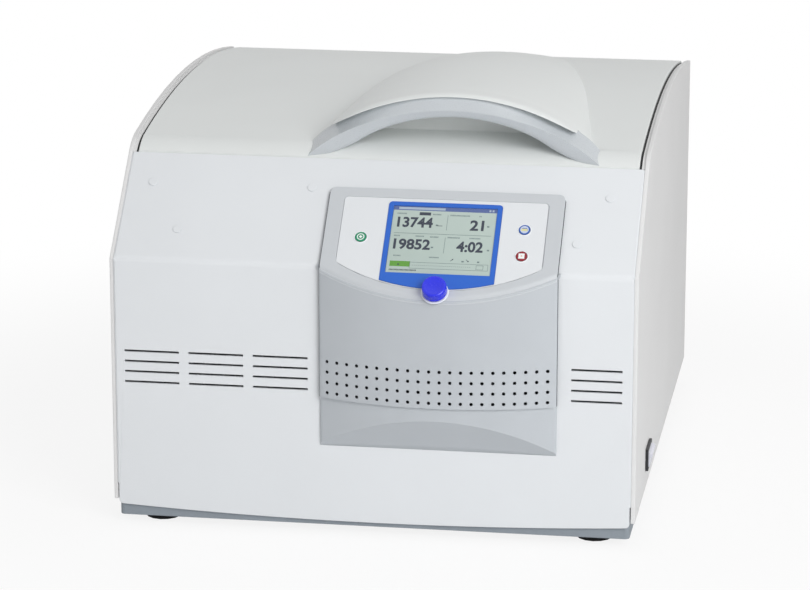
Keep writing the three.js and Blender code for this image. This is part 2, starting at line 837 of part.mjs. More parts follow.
function rotorLidKnob() {
  const low = rotorTop + rotorLidThickness + 2 * touchGap;
  const neckTop = low + lidKnobNeckHeight;
  const high = low + lidKnobHeight;
  const knob = turned([[0, low], [lidKnobNeck, low], [lidKnobNeck, neckTop], [lidKnobRadius, neckTop],
    [lidKnobRadius, high], [0, high]], roundSides, chamberX, chamberY);
  const grooves = Array.from({ length: lidKnobGrooves }, (_, i) => {
    const angle = (2 * Math.PI * i) / lidKnobGrooves;
    const x = chamberX + lidKnobRadius * Math.cos(angle);
    const y = chamberY + lidKnobRadius * Math.sin(angle);
    return alongZ(circle(lidKnobGrooveRadius, holeSides, x, y), neckTop - cutOverrun, high + cutOverrun);
  });
  return cut(knob, grooves);
}

// Console

// Plan of the bulging console front, set in by `inset`, from its arc back to y = rear
function bulgePlan(inset, rear) {
  const half = consoleHalfWidth - inset;
  const rise = consoleBulge - consoleEdge;
  const radius = (consoleHalfWidth * consoleHalfWidth + rise * rise) / (2 * rise);
  const centre = radius - consoleBulge;
  const front = Array.from({ length: bulgeSteps + 1 }, (_, i) => {
    const x = half * ((2 * i) / bulgeSteps - 1);
    return [consoleX + x, centre - Math.sqrt((radius - inset) ** 2 - x * x)];
  });
  return [...front, [consoleX + half, rear], [consoleX - half, rear]];
}

function consoleFrame() {
  const low = consoleBottom;
  const high = slopeTopZ + consoleRise;
  const reach = -openingTop;
  const column = alongZ(bulgePlan(0, housingDepth), low, high);
  const flange = onSlope(block(-consoleHalfWidth, consoleHalfWidth, reach, consoleTop,
    touchGap, consoleRise));
  const forwardOfPanel = block(-housingWidth, housingWidth, -housingWidth, -touchGap, low, high);
  const skirt = onSlope(block(-consoleHalfWidth, consoleHalfWidth, reach, consoleTop,
    -frameDepth, consoleRise)).intersect(forwardOfPanel);
  const core = onSlope(block(-openingHalf + openingClearance, openingHalf - openingClearance, reach,
    openingTop - openingClearance, -frameDepth, consoleRise));
  const coreColumn = alongZ(bulgePlan(openingMargin + openingClearance, housingDepth), low, high);
  const recess = onSlope(alongZ(overlayOutline(fitClearance), overlaySeat, consoleRise + cutOverrun));
  const window = onSlope(block(-screenHalfWidth - fitClearance, screenHalfWidth + fitClearance,
    screenBottom - fitClearance, screenTop + fitClearance, -cutOverrun, cutOverrun));
  const keyHoles = Object.values(keyPlaces).map(([x, s]) => onSlope(
    alongZ(circle(keyStemRadius + keyClearance, holeSides * 2, x, s), -cutOverrun, cutOverrun)));
  const keyPockets = Object.values(keyPlaces).map(([x, s]) => onSlope(
    alongZ(circle(keyRadius + keyClearance, roundSides / 2, x, s),
      consoleRise + keyProud - keyThickness - keyTravel - keyClearance, consoleRise + cutOverrun)));
  const frame = joined([flange.intersect(column), skirt.intersect(column), core.intersect(coreColumn)]);
  return cut(frame, [recess, window, ...keyHoles, ...keyPockets, onSlope(knobHole())]);
}

function undersideCutter(lift) {
  const reach = (consoleBulge + cutOverrun) / scoopPitch;
  const low = consoleBottom + lift;
  return alongX([[scoopPitch * cutOverrun, low - cutOverrun], [-scoopPitch * reach, low + reach],
    [-housingWidth, low + reach], [-housingWidth, low - cutOverrun]], -housingWidth, housingWidth);
}

// The darker lower cover, or with `wall` its hollow
function coverBody(wall, rear) {
  const upper = alongZ(bulgePlan(wall, rear), creaseHeight + wall, slopeTopZ);
  const lower = alongZ(bulgePlan(wall + creaseStep, rear), consoleBottom, creaseHeight + wall);
  return joined([upper, lower]).subtract(undersideCutter(wall * Math.hypot(1, scoopPitch) / scoopPitch));
}

function consoleCover() {
  const aboveFrame = onSlope(block(-housingWidth, housingWidth, -housingWidth, housingWidth,
    -frameDepth - touchGap, housingWidth));
  const shell = coverBody(0, -touchGap).subtract(coverBody(coverWall, cutOverrun)).subtract(aboveFrame);
  const sides = block(-housingWidth, housingWidth, -touchGap, frontSheet + cutOverrun, 0, housingWidth);
  const collarHalf = openingHalf - openingClearance;
  const collarOuter = block(consoleX - collarHalf, consoleX + collarHalf, -ledgeDepth, collarDepth,
    openingBottom + openingClearance, bendHeight - cutOverrun);
  const innerHalf = collarHalf - coverWall;
  const collarInner = block(consoleX - innerHalf, consoleX + innerHalf, -cutOverrun, collarDepth + cutOverrun,
    openingBottom + openingClearance + coverWall, bendHeight);
  const collar = collarOuter.subtract(collarInner).intersect(sides);
  const ledge = collarOuter.subtract(collarInner).intersect(coverBody(0, 0)).intersect(
    block(-housingWidth, housingWidth, -ledgeDepth, 0, 0, housingWidth));
  const holes = [];
  for (let row = 0; row < slotRows; row += 1) {
    for (let column = 0; column < holeColumns; column += 1) {
      const x = consoleX + (column - (holeColumns - 1) / 2) * holePitch;
      holes.push(alongY(circle(holeDiameter / 2, holeSides, x, topRowHeight - row * rowPitch),
        -consoleBulge - cutOverrun, 0));
    }
  }
  return cut(joined([shell, collar, ledge]), holes);
}

function smile(half, level, sag, steps) {
  return shifted(bow(half, -sag, steps), 0, level);
}

// Outline of the keypad overlay in (x, s), grown by `margin`
function overlayOutline(margin) {
  const half = overlayHalfWidth + margin;
  const top = overlayTop + margin;
  const lower = smile(half, overlayCorner - margin, overlaySag, bulgeSteps / 2);
  return [...lower, [half, top], [-half, top]];
}

function bezelOutline(margin) {
  const half = bezelHalfWidth + margin;
  const top = bezelTop + margin;
  const lower = smile(half, bezelCorner - margin, bezelSag, bulgeSteps / 2);
  return [...lower, [half, top], [-half, top]];
}

function knobHole() {
  return alongZ(circle(knobShaftRadius + keyClearance, holeSides * 2, 0, knobPlace), -cutOverrun, cutOverrun);
}

function keypadOverlay() {
  const sheet = alongZ(overlayOutline(0), overlayBack, overlayFace);
  const bezelWindow = alongZ(bezelOutline(touchGap), -cutOverrun, cutOverrun);
  const keyHoles = Object.values(keyPlaces).map(([x, s]) => alongZ(
    circle(keyRadius + keyClearance, roundSides / 2, x, s), -cutOverrun, cutOverrun));
  return cut(sheet, [bezelWindow, knobHole(), ...keyHoles]);
}

function displayBezel() {
  const sheet = alongZ(bezelOutline(0), overlayBack, overlayFace + bezelProud);
  const window = block(-screenHalfWidth, screenHalfWidth, screenBottom, screenTop, -cutOverrun, cutOverrun);
  return cut(sheet, [window, knobHole()]);
}

function displayModule() {
  const back = -frameDepth - touchGap;
  const glass = block(-screenHalfWidth + touchGap, screenHalfWidth - touchGap, screenBottom + touchGap,
    screenTop - touchGap, back - displayDepth / 2, overlayFace - screenRecess);
  const body = block(-screenHalfWidth - displayMargin, screenHalfWidth + displayMargin,
    screenBottom - displayMargin, screenTop + displayMargin, back - displayDepth, back);
  return joined([glass, body]);
}

function controlBoard() {
  const face = -frameDepth - displayDepth - 2 * touchGap;
  return block(-screenHalfWidth - boardMargin, screenHalfWidth + boardMargin, screenBottom - displayMargin,
    screenTop + displayMargin, face - boardThickness, face);
}

function encoderBody() {
  const top = -frameDepth - touchGap;
  const half = encoderSize / 2;
  const shell = block(-half, half, knobPlace - half, knobPlace + half, top - encoderDepth, top);
  const cavity = alongZ(circle(encoderDiscRadius + touchGap, roundSides / 2, 0, knobPlace),
    top - encoderWall - encoderDiscThickness - 2 * touchGap, top - encoderWall);
  const bore = alongZ(circle(knobShaftRadius + keyClearance, roundSides / 2, 0, knobPlace),
    top - encoderDepth - cutOverrun, top + cutOverrun);
  return cut(shell, [cavity, bore]);
}

// The shaft's round section with its flat
function shaftSection(margin) {
  const flat = knobShaftFlat + margin;
  return circle(knobShaftRadius + margin, roundSides / 2, 0, knobPlace)
    .map(([x, s]) => [Math.min(x, flat), s]);
}

function encoderDisc() {
  const top = -frameDepth - 2 * touchGap - encoderWall;
  return alongZ(circle(encoderDiscRadius, roundSides / 2, 0, knobPlace), top - encoderDiscThickness, top)
    .subtract(alongZ(shaftSection(touchGap / 2), -cutOverrun, cutOverrun));
}

function controlKnob() {
  const low = consoleRise + knobLift;
  const cap = turned([[0, low], [knobRadius, low], [knobRadius, low + knobHeight - knobDome],
    [knobRadius - knobDome, low + knobHeight], [0, low + knobHeight]], roundSides, 0, knobPlace);
  return cap.add(alongZ(shaftSection(0), low - knobShaftLength, low + knobHeight / 2));
}

function consoleKey([x, s]) {
  const top = consoleRise + keyProud;
  const cap = alongZ(circle(keyRadius, roundSides / 2, x, s), top - keyThickness, top);
  return cap.add(alongZ(circle(keyStemRadius, holeSides * 2, x, s), top - keyThickness - keyStemLength, top));
}

function panelPlug([x, s]) {
  const head = alongZ(circle(plugRadius, roundSides / 2, x - consoleX, s), touchGap, touchGap + plugProud);
  return head.add(alongZ(circle(plugStemRadius, holeSides * 2, x - consoleX, s), -plugStemLength, touchGap));
}

// Lid

function lidOutline(inset) {
  const front = slopeRun + lidFrontGap + inset;
  const rear = housingDepth - lidRearGap - inset;
  const low = inset > 0 ? lidBottom - cutOverrun : lidBottom;
  return [[front, low], ...crownLine(front, rear, inset), [rear, low]];
}

// One cross-section of the raised blister, set in by `inset`: its half width, rise and foot at y
function blisterStation(share, i, inset) {
  const front = blisterFront + inset;
  const y = front + share * (blisterRear - inset - front);
  const half = blisterHalfWidth * blisterWidthShares[i] - inset;
  return { y, half, rise: blisterRise * blisterRiseShares[i], foot: crownHeight(y) - blisterSink - inset };
}

function blister(inset) {
  const stations = blisterStationShares.map((share, i) => blisterStation(share, i, inset));
  const positions = [];
  const index = [];
  const ring = blisterSteps + 1;
  stations.forEach(({ y, foot, half, rise }) => {
    for (let j = 0; j <= blisterSteps; j += 1) {
      const u = (2 * j) / blisterSteps - 1;
      const lift = (rise + blisterSink) * (1 - u * u) ** blisterRoundness;
      positions.push(consoleX + half * u, y, foot + lift);
    }
  });
  const last = (stations.length - 1) * ring;
  for (let i = 0; i < stations.length - 1; i += 1) {
    for (let j = 0; j < ring; j += 1) {
      const k = (j + 1) % ring;
      const [a, b, c, d] = [i * ring + j, i * ring + k, (i + 1) * ring + k, (i + 1) * ring + j];
      index.push(a, b, c, a, c, d);
    }
  }
  for (let j = 1; j < blisterSteps; j += 1) {
    index.push(0, j + 1, j, last, last + j, last + j + 1);
  }
  const geometry = new THREE.BufferGeometry();
  geometry.setAttribute('position', new THREE.Float32BufferAttribute(positions, 3));
  geometry.setIndex(index);
  return toSolid(geometry);
}

// Section of the finger gap under the grip, in (x, z), grown by `margin`
function fingerGapSection(margin) {
  return shifted(bow(fingerGapHalfWidth + margin, fingerGapRise + margin, gripSteps), consoleX,
    fingerGapBase);
}

function lidHood() {
  const outer = alongX(lidOutline(0), -lidHalf, lidHalf)
    .add(blister(0).subtract(alongY(fingerGapSection(0), gripFront, fingerGapRear)));
  const inner = alongX(lidOutline(lidSkin), -lidHalf + lidSkin, lidHalf - lidSkin)
    .add(blister(lidSkin).subtract(alongY(fingerGapSection(lidSkin), gripFront, fingerGapRear + lidSkin)));
  return outer.subtract(inner);
}

function lidHandle() {
  const outer = shifted(bow(gripHalfWidth, gripRise, gripSteps), consoleX, fingerGapBase);
  const inner = fingerGapSection(0).reverse();
  const clearOfHood = alongX([...crownLine(slopeRun + lidFrontGap, fingerGapRear, -touchGap),
    [fingerGapRear, lidBottom], [slopeRun + lidFrontGap, lidBottom]], -lidHalf, lidHalf);
  return alongY([...outer, ...inner], gripFront, blisterFront - touchGap).subtract(clearOfHood);
}

function lidInnerPlate() {
  const half = lidHalf - lidSkin - touchGap;
  const front = slopeRun + lidFrontGap + lidSkin + touchGap;
  const plate = block(-half, half, front, innerPlateRear, innerPlateZ, innerPlateZ + innerPlateThickness);
  return plate.add(springStud());
}

function hingeArm(side) {
  const low = innerPlateZ + innerPlateThickness + touchGap;
  const front = hingeY - hingeArmLength;
  const profile = [[front, low], [innerPlateRear, low], [hingeY, hingeZ - hingeBossRadius],
    [hingeY + hingeBossRadius, hingeZ], [hingeY, hingeZ + hingeBossRadius],
    [innerPlateRear, low + hingeArmRoot], [front, low + hingeArmNose]];
  const x = side * hingeArmX;
  return alongX(profile, x - hingeArmWidth / 2, x + hingeArmWidth / 2).subtract(
    alongX(circle(hingeRodRadius + hingeRunningGap, hingeSides, hingeY, hingeZ),
      x - hingeArmWidth, x + hingeArmWidth));
}

function hingeBracket(side) {
  const x = side * (hingeArmX + hingeSpacing);
  const half = hingeArmWidth / 2;
  const low = deckTop + touchGap;
  const rear = hingeY - bracketRearGap;
  const heel = rear - bracketHeelLength;
  const upright = alongX([[heel, low], [rear, low], [rear + bracketLean, hingeZ - bracketKnee],
    [hingeY - bracketHeadCorner, hingeZ - hingeBossRadius], [hingeY + hingeBossRadius, hingeZ],
    [hingeY, hingeZ + hingeBossRadius], [hingeY - hingeBossRadius, hingeZ + bracketHeadCorner],
    [heel, hingeZ - hingeBossRadius]], x - half, x + half);
  const foot = block(x - bracketFootWidth / 2, x + bracketFootWidth / 2, rear - bracketFootLength, rear,
    low, low + bracketFootHeight);
  return upright.add(foot).subtract(alongX(circle(hingeRodRadius + touchGap, hingeSides, hingeY, hingeZ),
    x - hingeArmWidth, x + hingeArmWidth));
}

function hingeRod() {
  const half = hingeArmX + hingeSpacing + hingeArmWidth / 2 + rodOverhang;
  return alongX(circle(hingeRodRadius, hingeSides, hingeY, hingeZ), -half, half);
}

// Gas spring, drawn along its own axis from the base pivot to the stud on the lid
const studY = hingeY - studBack;
const studZ = hingeZ - studDrop;
const springLength = Math.hypot(studY - springBaseY, studZ - springBaseZ);
const springTilt = Math.atan2(studZ - springBaseZ, studY - springBaseY);

function springPlace(body) {
  const place = new THREE.Matrix4().makeTranslation(springX, springBaseY, springBaseZ)
    .multiply(new THREE.Matrix4().makeRotationX(springTilt));
  return body.transform(place.elements);
}

function springEye(along) {
  return alongX(circle(springEyeRadius, springSides, along, 0), -springEyeWidth / 2, springEyeWidth / 2);
}

function rodAlong(radius, from, to) {
  return alongY(circle(radius, springSides), from, to);
}

function gasSpringTube() {
  const end = springTubeSetback + springTubeLength;
  const neck = rodAlong(springRodRadius, springNeckStart, springTubeSetback);
  const tube = rodAlong(springTubeRadius, springTubeSetback, end);
  const bore = rodAlong(springRodRadius + hingeRunningGap, springTubeSetback + springEyeRadius,
    end + cutOverrun);
  const pinHole = alongX(circle(springPinRadius + hingeRunningGap, springSides),
    -springEyeWidth, springEyeWidth);
  return springPlace(cut(joined([springEye(0), neck, tube]), [bore, pinHole]));
}

function gasSpringRod() {
  const inside = springTubeSetback + springTubeLength - springRodEngaged;
  const rod = rodAlong(springRodRadius, inside, springLength);
  return springPlace(rod.add(springEye(springLength)));
}

function springBaseBracket() {
  const low = springBaseZ - springBracketReach;
  const plateX = springX + springEyeWidth / 2 + touchGap + springBracketWidth;
  const rear = rearPanelY - sheetThickness - touchGap;
  const high = springBaseZ + springEyeRadius;
  const ear = block(plateX - springBracketWidth, plateX, springBaseY - springEyeRadius, rear, low, high);
  const foot = block(plateX - springBracketWidth, plateX + springBracketReach, rear - springBracketWidth,
    rear, low, high);
  const pin = alongX(circle(springPinRadius, springSides, springBaseY, springBaseZ),
    springX - springEyeWidth / 2 - touchGap, plateX);
  return joined([ear, foot, pin]);
}

// The lid's ear stands beside the end of the rod
function springStud() {
  const outer = springX - springEyeWidth / 2 - hingeRunningGap;
  const top = innerPlateZ + innerPlateThickness / 2;
  return block(outer - springBracketWidth, outer, studY - springEyeRadius, studY + springEyeRadius,
    studZ - springEyeRadius, top);
}

// Lid lock

function lockHousing() {
  const top = deckBottom - touchGap;
  const low = top - lockDepth;
  const outer = block(consoleX - lockHalfWidth, consoleX + lockHalfWidth, lockFront, lockRear, low, top);
  const innerHalf = lockHalfWidth - lockWall;
  const inner = block(consoleX - innerHalf, consoleX + innerHalf, lockFront + lockWall, lockRear - lockWall,
    low + lockWall, top + cutOverrun);
  const bore = alongX(circle(hookPinRadius + hingeRunningGap, hookSides, hookPivotY, hookPivotZ),
    consoleX - lockHalfWidth - cutOverrun, consoleX + lockHalfWidth + cutOverrun);
  return cut(outer, [inner, bore]);
}

// The hook is drawn holding the striker, then swung back to its released place
function lockHook() {
  const armTop = hookPivotZ + hookArmLength;
  const armFront = hookPivotY - hookArmFront;
  const nose = [[hookPivotY - hookNoseReach, armTop - hookNoseHeight], [armFront, armTop - hookNoseHeight]];
  const arm = alongX([...nose, [armFront, hookPivotZ], [hookPivotY + hookArmRear, hookPivotZ],
    [hookPivotY + hookArmRear, armTop], [hookPivotY - hookNoseReach, armTop]],
  consoleX - hookHalfWidth, consoleX + hookHalfWidth);
  const boss = alongX(circle(hookBossRadius, hookSides, hookPivotY, hookPivotZ),
    consoleX - hookHalfWidth, consoleX + hookHalfWidth);
  const pin = alongX(circle(hookPinRadius, hookSides, hookPivotY, hookPivotZ),
    consoleX - lockHalfWidth, consoleX + lockHalfWidth);
  const place = new THREE.Matrix4().makeTranslation(0, hookPivotY, hookPivotZ)
    .multiply(new THREE.Matrix4().makeRotationX(-THREE.MathUtils.degToRad(hookAngle)))
    .multiply(new THREE.Matrix4().makeTranslation(0, -hookPivotY, -hookPivotZ));
  return joined([arm, boss, pin]).transform(place.elements);
}

function lidStriker() {
  const top = innerPlateZ - touchGap;
  const low = strikerZ - strikerWire / 2;
  const outer = block(consoleX - strikerHalfWidth, consoleX + strikerHalfWidth, strikerY - strikerWire / 2,
    strikerY + strikerWire / 2, low, top);
  const loop = block(consoleX - strikerHalfWidth + strikerWire, consoleX + strikerHalfWidth - strikerWire,
    strikerY - strikerWire, strikerY + strikerWire, low + strikerWire, top - strikerPadThickness);
  const pad = block(consoleX - strikerPadLength, consoleX + strikerPadLength, strikerY - strikerWire,
    strikerY + strikerWire, top - strikerPadThickness, top);
  return outer.subtract(loop).add(pad);
}

// Mains switch

function switchFrame() {
  const face = housingWidth / 2;
  const [y0, y1] = [switchY - switchLength / 2, switchY + switchLength / 2];
  const [z0, z1] = [switchZ - switchHeight / 2, switchZ + switchHeight / 2];
  const inset = switchBodyMargin + fitClearance;
  const flange = block(face + touchGap, face + switchFrameProud, y0, y1, z0, z1);
  const body = block(face - switchBodyDepth, face + touchGap, y0 + inset, y1 - inset, z0 + inset, z1 - inset);
  const rim = switchFrameRim;
  const cavity = block(face - switchBodyDepth + switchWall, face + cutOverrun, y0 + rim, y1 - rim,
    z0 + rim, z1 - rim);
  const bore = alongY(circle(rockerPinRadius + touchGap, hookSides, rockerPivotX, switchZ),
    y0 + rim - switchWall, y1 - rim + switchWall);
  return cut(flange.add(body), [cavity, bore]);
}

// Points round the rocker's pivot from one angle to another, counted up from straight out
function rockerArc(from, to) {
  return Array.from({ length: rockerEndSteps + 1 }, (_, i) => {
    const angle = THREE.MathUtils.degToRad(from + ((to - from) * i) / rockerEndSteps);
    return [rockerPivotX + rockerRadius * Math.cos(angle), switchZ + rockerRadius * Math.sin(angle)];
  });
}

function mainsRocker() {
  const y0 = switchY - switchLength / 2 + switchFrameRim + hingeRunningGap;
  const y1 = switchY + switchLength / 2 - switchFrameRim - hingeRunningGap;
  const pressed = -rockerRaisedAngle - rockerSwing;
  const section = [...rockerArc(rockerRaisedAngle, rockerBackAngle), ...rockerArc(-rockerBackAngle, pressed),
    [rockerPivotX + rockerValley, switchZ]];
  const pinReach = switchWall - touchGap + hingeRunningGap;
  const pin = alongY(circle(rockerPinRadius, hookSides, rockerPivotX, switchZ), y0 - pinReach,
    y1 + pinReach);
  return alongY(section, y0, y1).add(pin);
}

// Rear fittings

function fanFrame() {
  const rear = rearPanelY - sheetThickness - touchGap;
  const front = rear - fanDepth;
  const half = fanSize / 2;
  const frame = block(fanX - half, fanX + half, front, rear, fanZ - half, fanZ + half).subtract(
    alongY(circle(fanRadius + seamGap, roundSides, fanX, fanZ), front - cutOverrun, rear + cutOverrun));
  const bar = fanSpokeWidth / 2;
  const spokes = [block(fanX - half, fanX + half, front, front + fanSpokeDepth, fanZ - bar, fanZ + bar),
    block(fanX - bar, fanX + bar, front, front + fanSpokeDepth, fanZ - half, fanZ + half)];
  const motor = alongY(circle(fanHubRadius, roundSides / 2, fanX, fanZ), front, front + fanSpokeDepth);
  return joined([frame, ...spokes, motor]);
}

function fanImpeller() {
  const front = rearPanelY - sheetThickness - touchGap - fanDepth + fanSpokeDepth + touchGap;
  const hub = alongY(circle(fanHubRadius, roundSides / 2, fanX, fanZ), front,
    front + fanBladeDepth + fanBladeGap);
  const blades = Array.from({ length: fanBlades }, (_, i) => {
    const bladeFrom = fanHubRadius - fanBladeThickness;
    const blade = alongX(rectangle(-fanBladeDepth / 2, fanBladeDepth / 2, -fanBladeThickness / 2,
      fanBladeThickness / 2), bladeFrom, fanRadius - seamGap);
    const place = new THREE.Matrix4()
      .makeTranslation(fanX, front + fanBladeGap + fanBladeDepth / 2, fanZ)
      .multiply(new THREE.Matrix4().makeRotationY((2 * Math.PI * i) / fanBlades))
      .multiply(new THREE.Matrix4().makeRotationX(THREE.MathUtils.degToRad(fanBladePitch)));
    return blade.transform(place.elements);
  });
  return joined([hub, ...blades]);
}

function powerInlet() {
  const rear = rearPanelY + touchGap + inletFlange;
  const flange = block(inletX - inletWidth / 2, inletX + inletWidth / 2, rearPanelY + touchGap, rear,
    inletZ - inletHeight / 2, inletZ + inletHeight / 2);
  const body = block(inletX - inletBodyWidth / 2, inletX + inletBodyWidth / 2, rear - inletDepth, rear,
    inletZ - inletBodyHeight / 2, inletZ + inletBodyHeight / 2);
  const socket = block(inletX - inletSocketWidth / 2, inletX + inletSocketWidth / 2, rear - inletSocketDepth,
    rear + cutOverrun, inletZ - inletSocketHeight / 2, inletZ + inletSocketHeight / 2);
  const pinAt = (x, z) => block(inletX + x - inletPinWidth / 2, inletX + x + inletPinWidth / 2,
    rear - inletSocketDepth - touchGap, rear - inletSocketDepth + inletPinLength,
    inletZ + z - inletPinHeight / 2, inletZ + z + inletPinHeight / 2);
  const pins = [pinAt(-inletPinSpacing, -inletPinDrop), pinAt(inletPinSpacing, -inletPinDrop),
    pinAt(0, inletEarthRise)];
  return joined([flange.add(body).subtract(socket), ...pins]);
}

function driveInverter() {
  const low = trayFloorTop + touchGap;
  const left = inverterSideGap - trayHalf;
  const rear = inverterFront + inverterLength;
  const high = low + inverterHeight;
  const box = block(left, left + inverterWidth, inverterFront, rear, low, high);
  const pitch = (inverterWidth - inverterFinThickness) / (inverterFins - 1);
  const fins = Array.from({ length: inverterFins }, (_, i) => block(left + i * pitch,
    left + i * pitch + inverterFinThickness, inverterFront, rear, high - touchGap, high + inverterFinHeight));
  return joined([box, ...fins]);
}

// Assembly

const centrifuge = new THREE.Group();
centrifuge.name = 'benchtop_centrifuge';
centrifuge.position.set(-rockerReach / 2, -(housingDepth - knobReach) / 2, 0);

// Pieces on the sloping console face sit in a group that carries the slope
const slopeGroup = new THREE.Group();
slopeGroup.position.set(consoleX, 0, bendHeight);
slopeGroup.rotation.x = slope;
centrifuge.add(slopeGroup);

function add(parent, name, body, finish) {
  const mesh = new THREE.Mesh(toGeometry(body), new THREE.MeshStandardMaterial(materials[finish]));
  mesh.name = name;
  parent.add(mesh);
  return mesh;
}

add(centrifuge, 'base_tray', baseTray(), 'tray');
for (const [across, sideName] of [[-1, 'left'], [1, 'right']]) {
  for (const [endY, endName] of [[footInsetY, 'front'], [housingDepth - footInsetY, 'rear']]) {
    const mesh = add(centrifuge, `foot_${endName}_${sideName}`, foot(), 'rubber');
    mesh.position.set(across * (trayHalf - footInsetX), endY, 0);
  }
}
add(centrifuge, 'front_panel', frontPanel(), 'housing');
add(centrifuge, 'side_cover_left', sideCover(-1), 'side');
add(centrifuge, 'side_cover_right', sideCover(1), 'side');
add(centrifuge, 'rear_panel', rearPanel(), 'side');
add(centrifuge, 'top_deck', topDeck(), 'side');
for (const [name, place] of Object.entries(plugPlaces)) {
  add(slopeGroup, `panel_plug_${name}`, panelPlug(place), 'housing');
}
add(centrifuge, 'chamber_bowl', chamberBowl(), 'steel');
add(centrifuge, 'chamber_seal', chamberSeal(), 'rubber');
add(centrifuge, 'armour_ring', armourRing(), 'zinc');
for (let i = 0; i < mountCount; i += 1) {
  add(centrifuge, `motor_mount_${i + 1}`, motorMount(i), 'rubber');
}
add(centrifuge, 'motor_housing', motorHousing(), 'aluminium');
add(centrifuge, 'motor_bearing_lower', bearing(motorBottom + motorEndWall - bearingWidth), 'steel');
add(centrifuge, 'motor_bearing_upper', bearing(motorTop - motorEndWall), 'steel');
add(centrifuge, 'motor_shaft', motorShaft(), 'steel');
add(centrifuge, 'rotor', rotorBody(), 'rotor');
add(centrifuge, 'rotor_lid', rotorLid(), 'rotor');
add(centrifuge, 'rotor_lid_knob', rotorLidKnob(), 'dark');
add(centrifuge, 'console_frame', consoleFrame(), 'console');
add(centrifuge, 'console_cover', consoleCover(), 'cover');
add(slopeGroup, 'keypad_overlay', keypadOverlay(), 'overlay');
add(slopeGroup, 'display_bezel', displayBezel(), 'bezel');
add(slopeGroup, 'display_module', displayModule(), 'screen');
add(slopeGroup, 'control_board', controlBoard(), 'board');
add(slopeGroup, 'encoder_body', encoderBody(), 'dark');
add(slopeGroup, 'encoder_disc', encoderDisc(), 'steel');
add(slopeGroup, 'control_knob', controlKnob(), 'knob');
add(slopeGroup, 'start_key', consoleKey(keyPlaces.start_key), 'start');
add(slopeGroup, 'lid_key', consoleKey(keyPlaces.lid_key), 'open');
add(slopeGroup, 'stop_key', consoleKey(keyPlaces.stop_key), 'stop');
add(centrifuge, 'lid_hood', lidHood(), 'lid');
add(centrifuge, 'lid_handle', lidHandle(), 'grip');
add(centrifuge, 'lid_inner_plate', lidInnerPlate(), 'side');
add(centrifuge, 'hinge_arm_left', hingeArm(-1), 'zinc');
add(centrifuge, 'hinge_arm_right', hingeArm(1), 'zinc');
add(centrifuge, 'hinge_bracket_left', hingeBracket(-1), 'zinc');
add(centrifuge, 'hinge_bracket_right', hingeBracket(1), 'zinc');
add(centrifuge, 'hinge_rod', hingeRod(), 'steel');
add(centrifuge, 'gas_spring_tube', gasSpringTube(), 'dark');
add(centrifuge, 'gas_spring_rod', gasSpringRod(), 'steel');
add(centrifuge, 'gas_spring_bracket', springBaseBracket(), 'zinc');
add(centrifuge, 'lid_lock_housing', lockHousing(), 'dark');
add(centrifuge, 'lid_lock_hook', lockHook(), 'steel');
add(centrifuge, 'lid_striker', lidStriker(), 'steel');
add(centrifuge, 'mains_switch_frame', switchFrame(), 'dark');
add(centrifuge, 'mains_rocker', mainsRocker(), 'rocker');
add(centrifuge, 'fan_frame', fanFrame(), 'dark');
add(centrifuge, 'fan_impeller', fanImpeller(), 'dark');
add(centrifuge, 'power_inlet', powerInlet(), 'dark');
add(centrifuge, 'drive_inverter', driveInverter(), 'aluminium');

export default centrifuge;
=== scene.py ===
import json
import math

import bmesh
import bpy
from mathutils import Matrix, Vector

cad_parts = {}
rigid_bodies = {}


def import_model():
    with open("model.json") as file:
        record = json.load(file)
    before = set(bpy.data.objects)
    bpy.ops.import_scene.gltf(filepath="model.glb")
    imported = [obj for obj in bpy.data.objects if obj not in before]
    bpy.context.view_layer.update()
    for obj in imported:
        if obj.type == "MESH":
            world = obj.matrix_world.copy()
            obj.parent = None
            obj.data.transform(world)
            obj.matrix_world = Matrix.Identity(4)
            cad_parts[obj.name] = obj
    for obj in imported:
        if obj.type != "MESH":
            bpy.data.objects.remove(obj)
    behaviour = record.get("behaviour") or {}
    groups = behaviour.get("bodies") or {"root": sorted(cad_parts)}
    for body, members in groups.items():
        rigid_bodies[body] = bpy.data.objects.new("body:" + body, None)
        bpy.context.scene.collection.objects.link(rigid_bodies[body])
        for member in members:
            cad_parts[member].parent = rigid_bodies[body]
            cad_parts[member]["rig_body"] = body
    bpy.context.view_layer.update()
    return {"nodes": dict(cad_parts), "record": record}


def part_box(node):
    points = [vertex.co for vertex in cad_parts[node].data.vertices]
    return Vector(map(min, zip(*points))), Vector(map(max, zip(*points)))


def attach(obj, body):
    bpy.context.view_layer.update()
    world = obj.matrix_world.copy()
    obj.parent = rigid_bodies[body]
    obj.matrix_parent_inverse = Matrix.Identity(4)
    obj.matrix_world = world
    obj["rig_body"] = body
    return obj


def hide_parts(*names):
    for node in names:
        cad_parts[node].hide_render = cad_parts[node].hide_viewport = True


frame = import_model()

bl_info = {
    "name": "Benchtop centrifuge",
    "version": (1, 0, 0),
    "blender": (4, 5, 0),
    "location": "View3D > Sidebar > Centrifuge",
    "description": "Dresses the benchtop centrifuge frame with its visible pieces and finishes",
    "category": "Object",
}

MM = 0.001
WELD = 0.02 * MM
SLOT_OF = {row["node"]: row["material_slot"] for row in frame["record"]["subparts"]}


# Places that the frame gives, in metres, and the front's slope. Other sizes are in millimetres,
# unless a comment says metres. In the housing's place y runs back from the front face, and in the
# slope's place y runs up the slope from its bend.

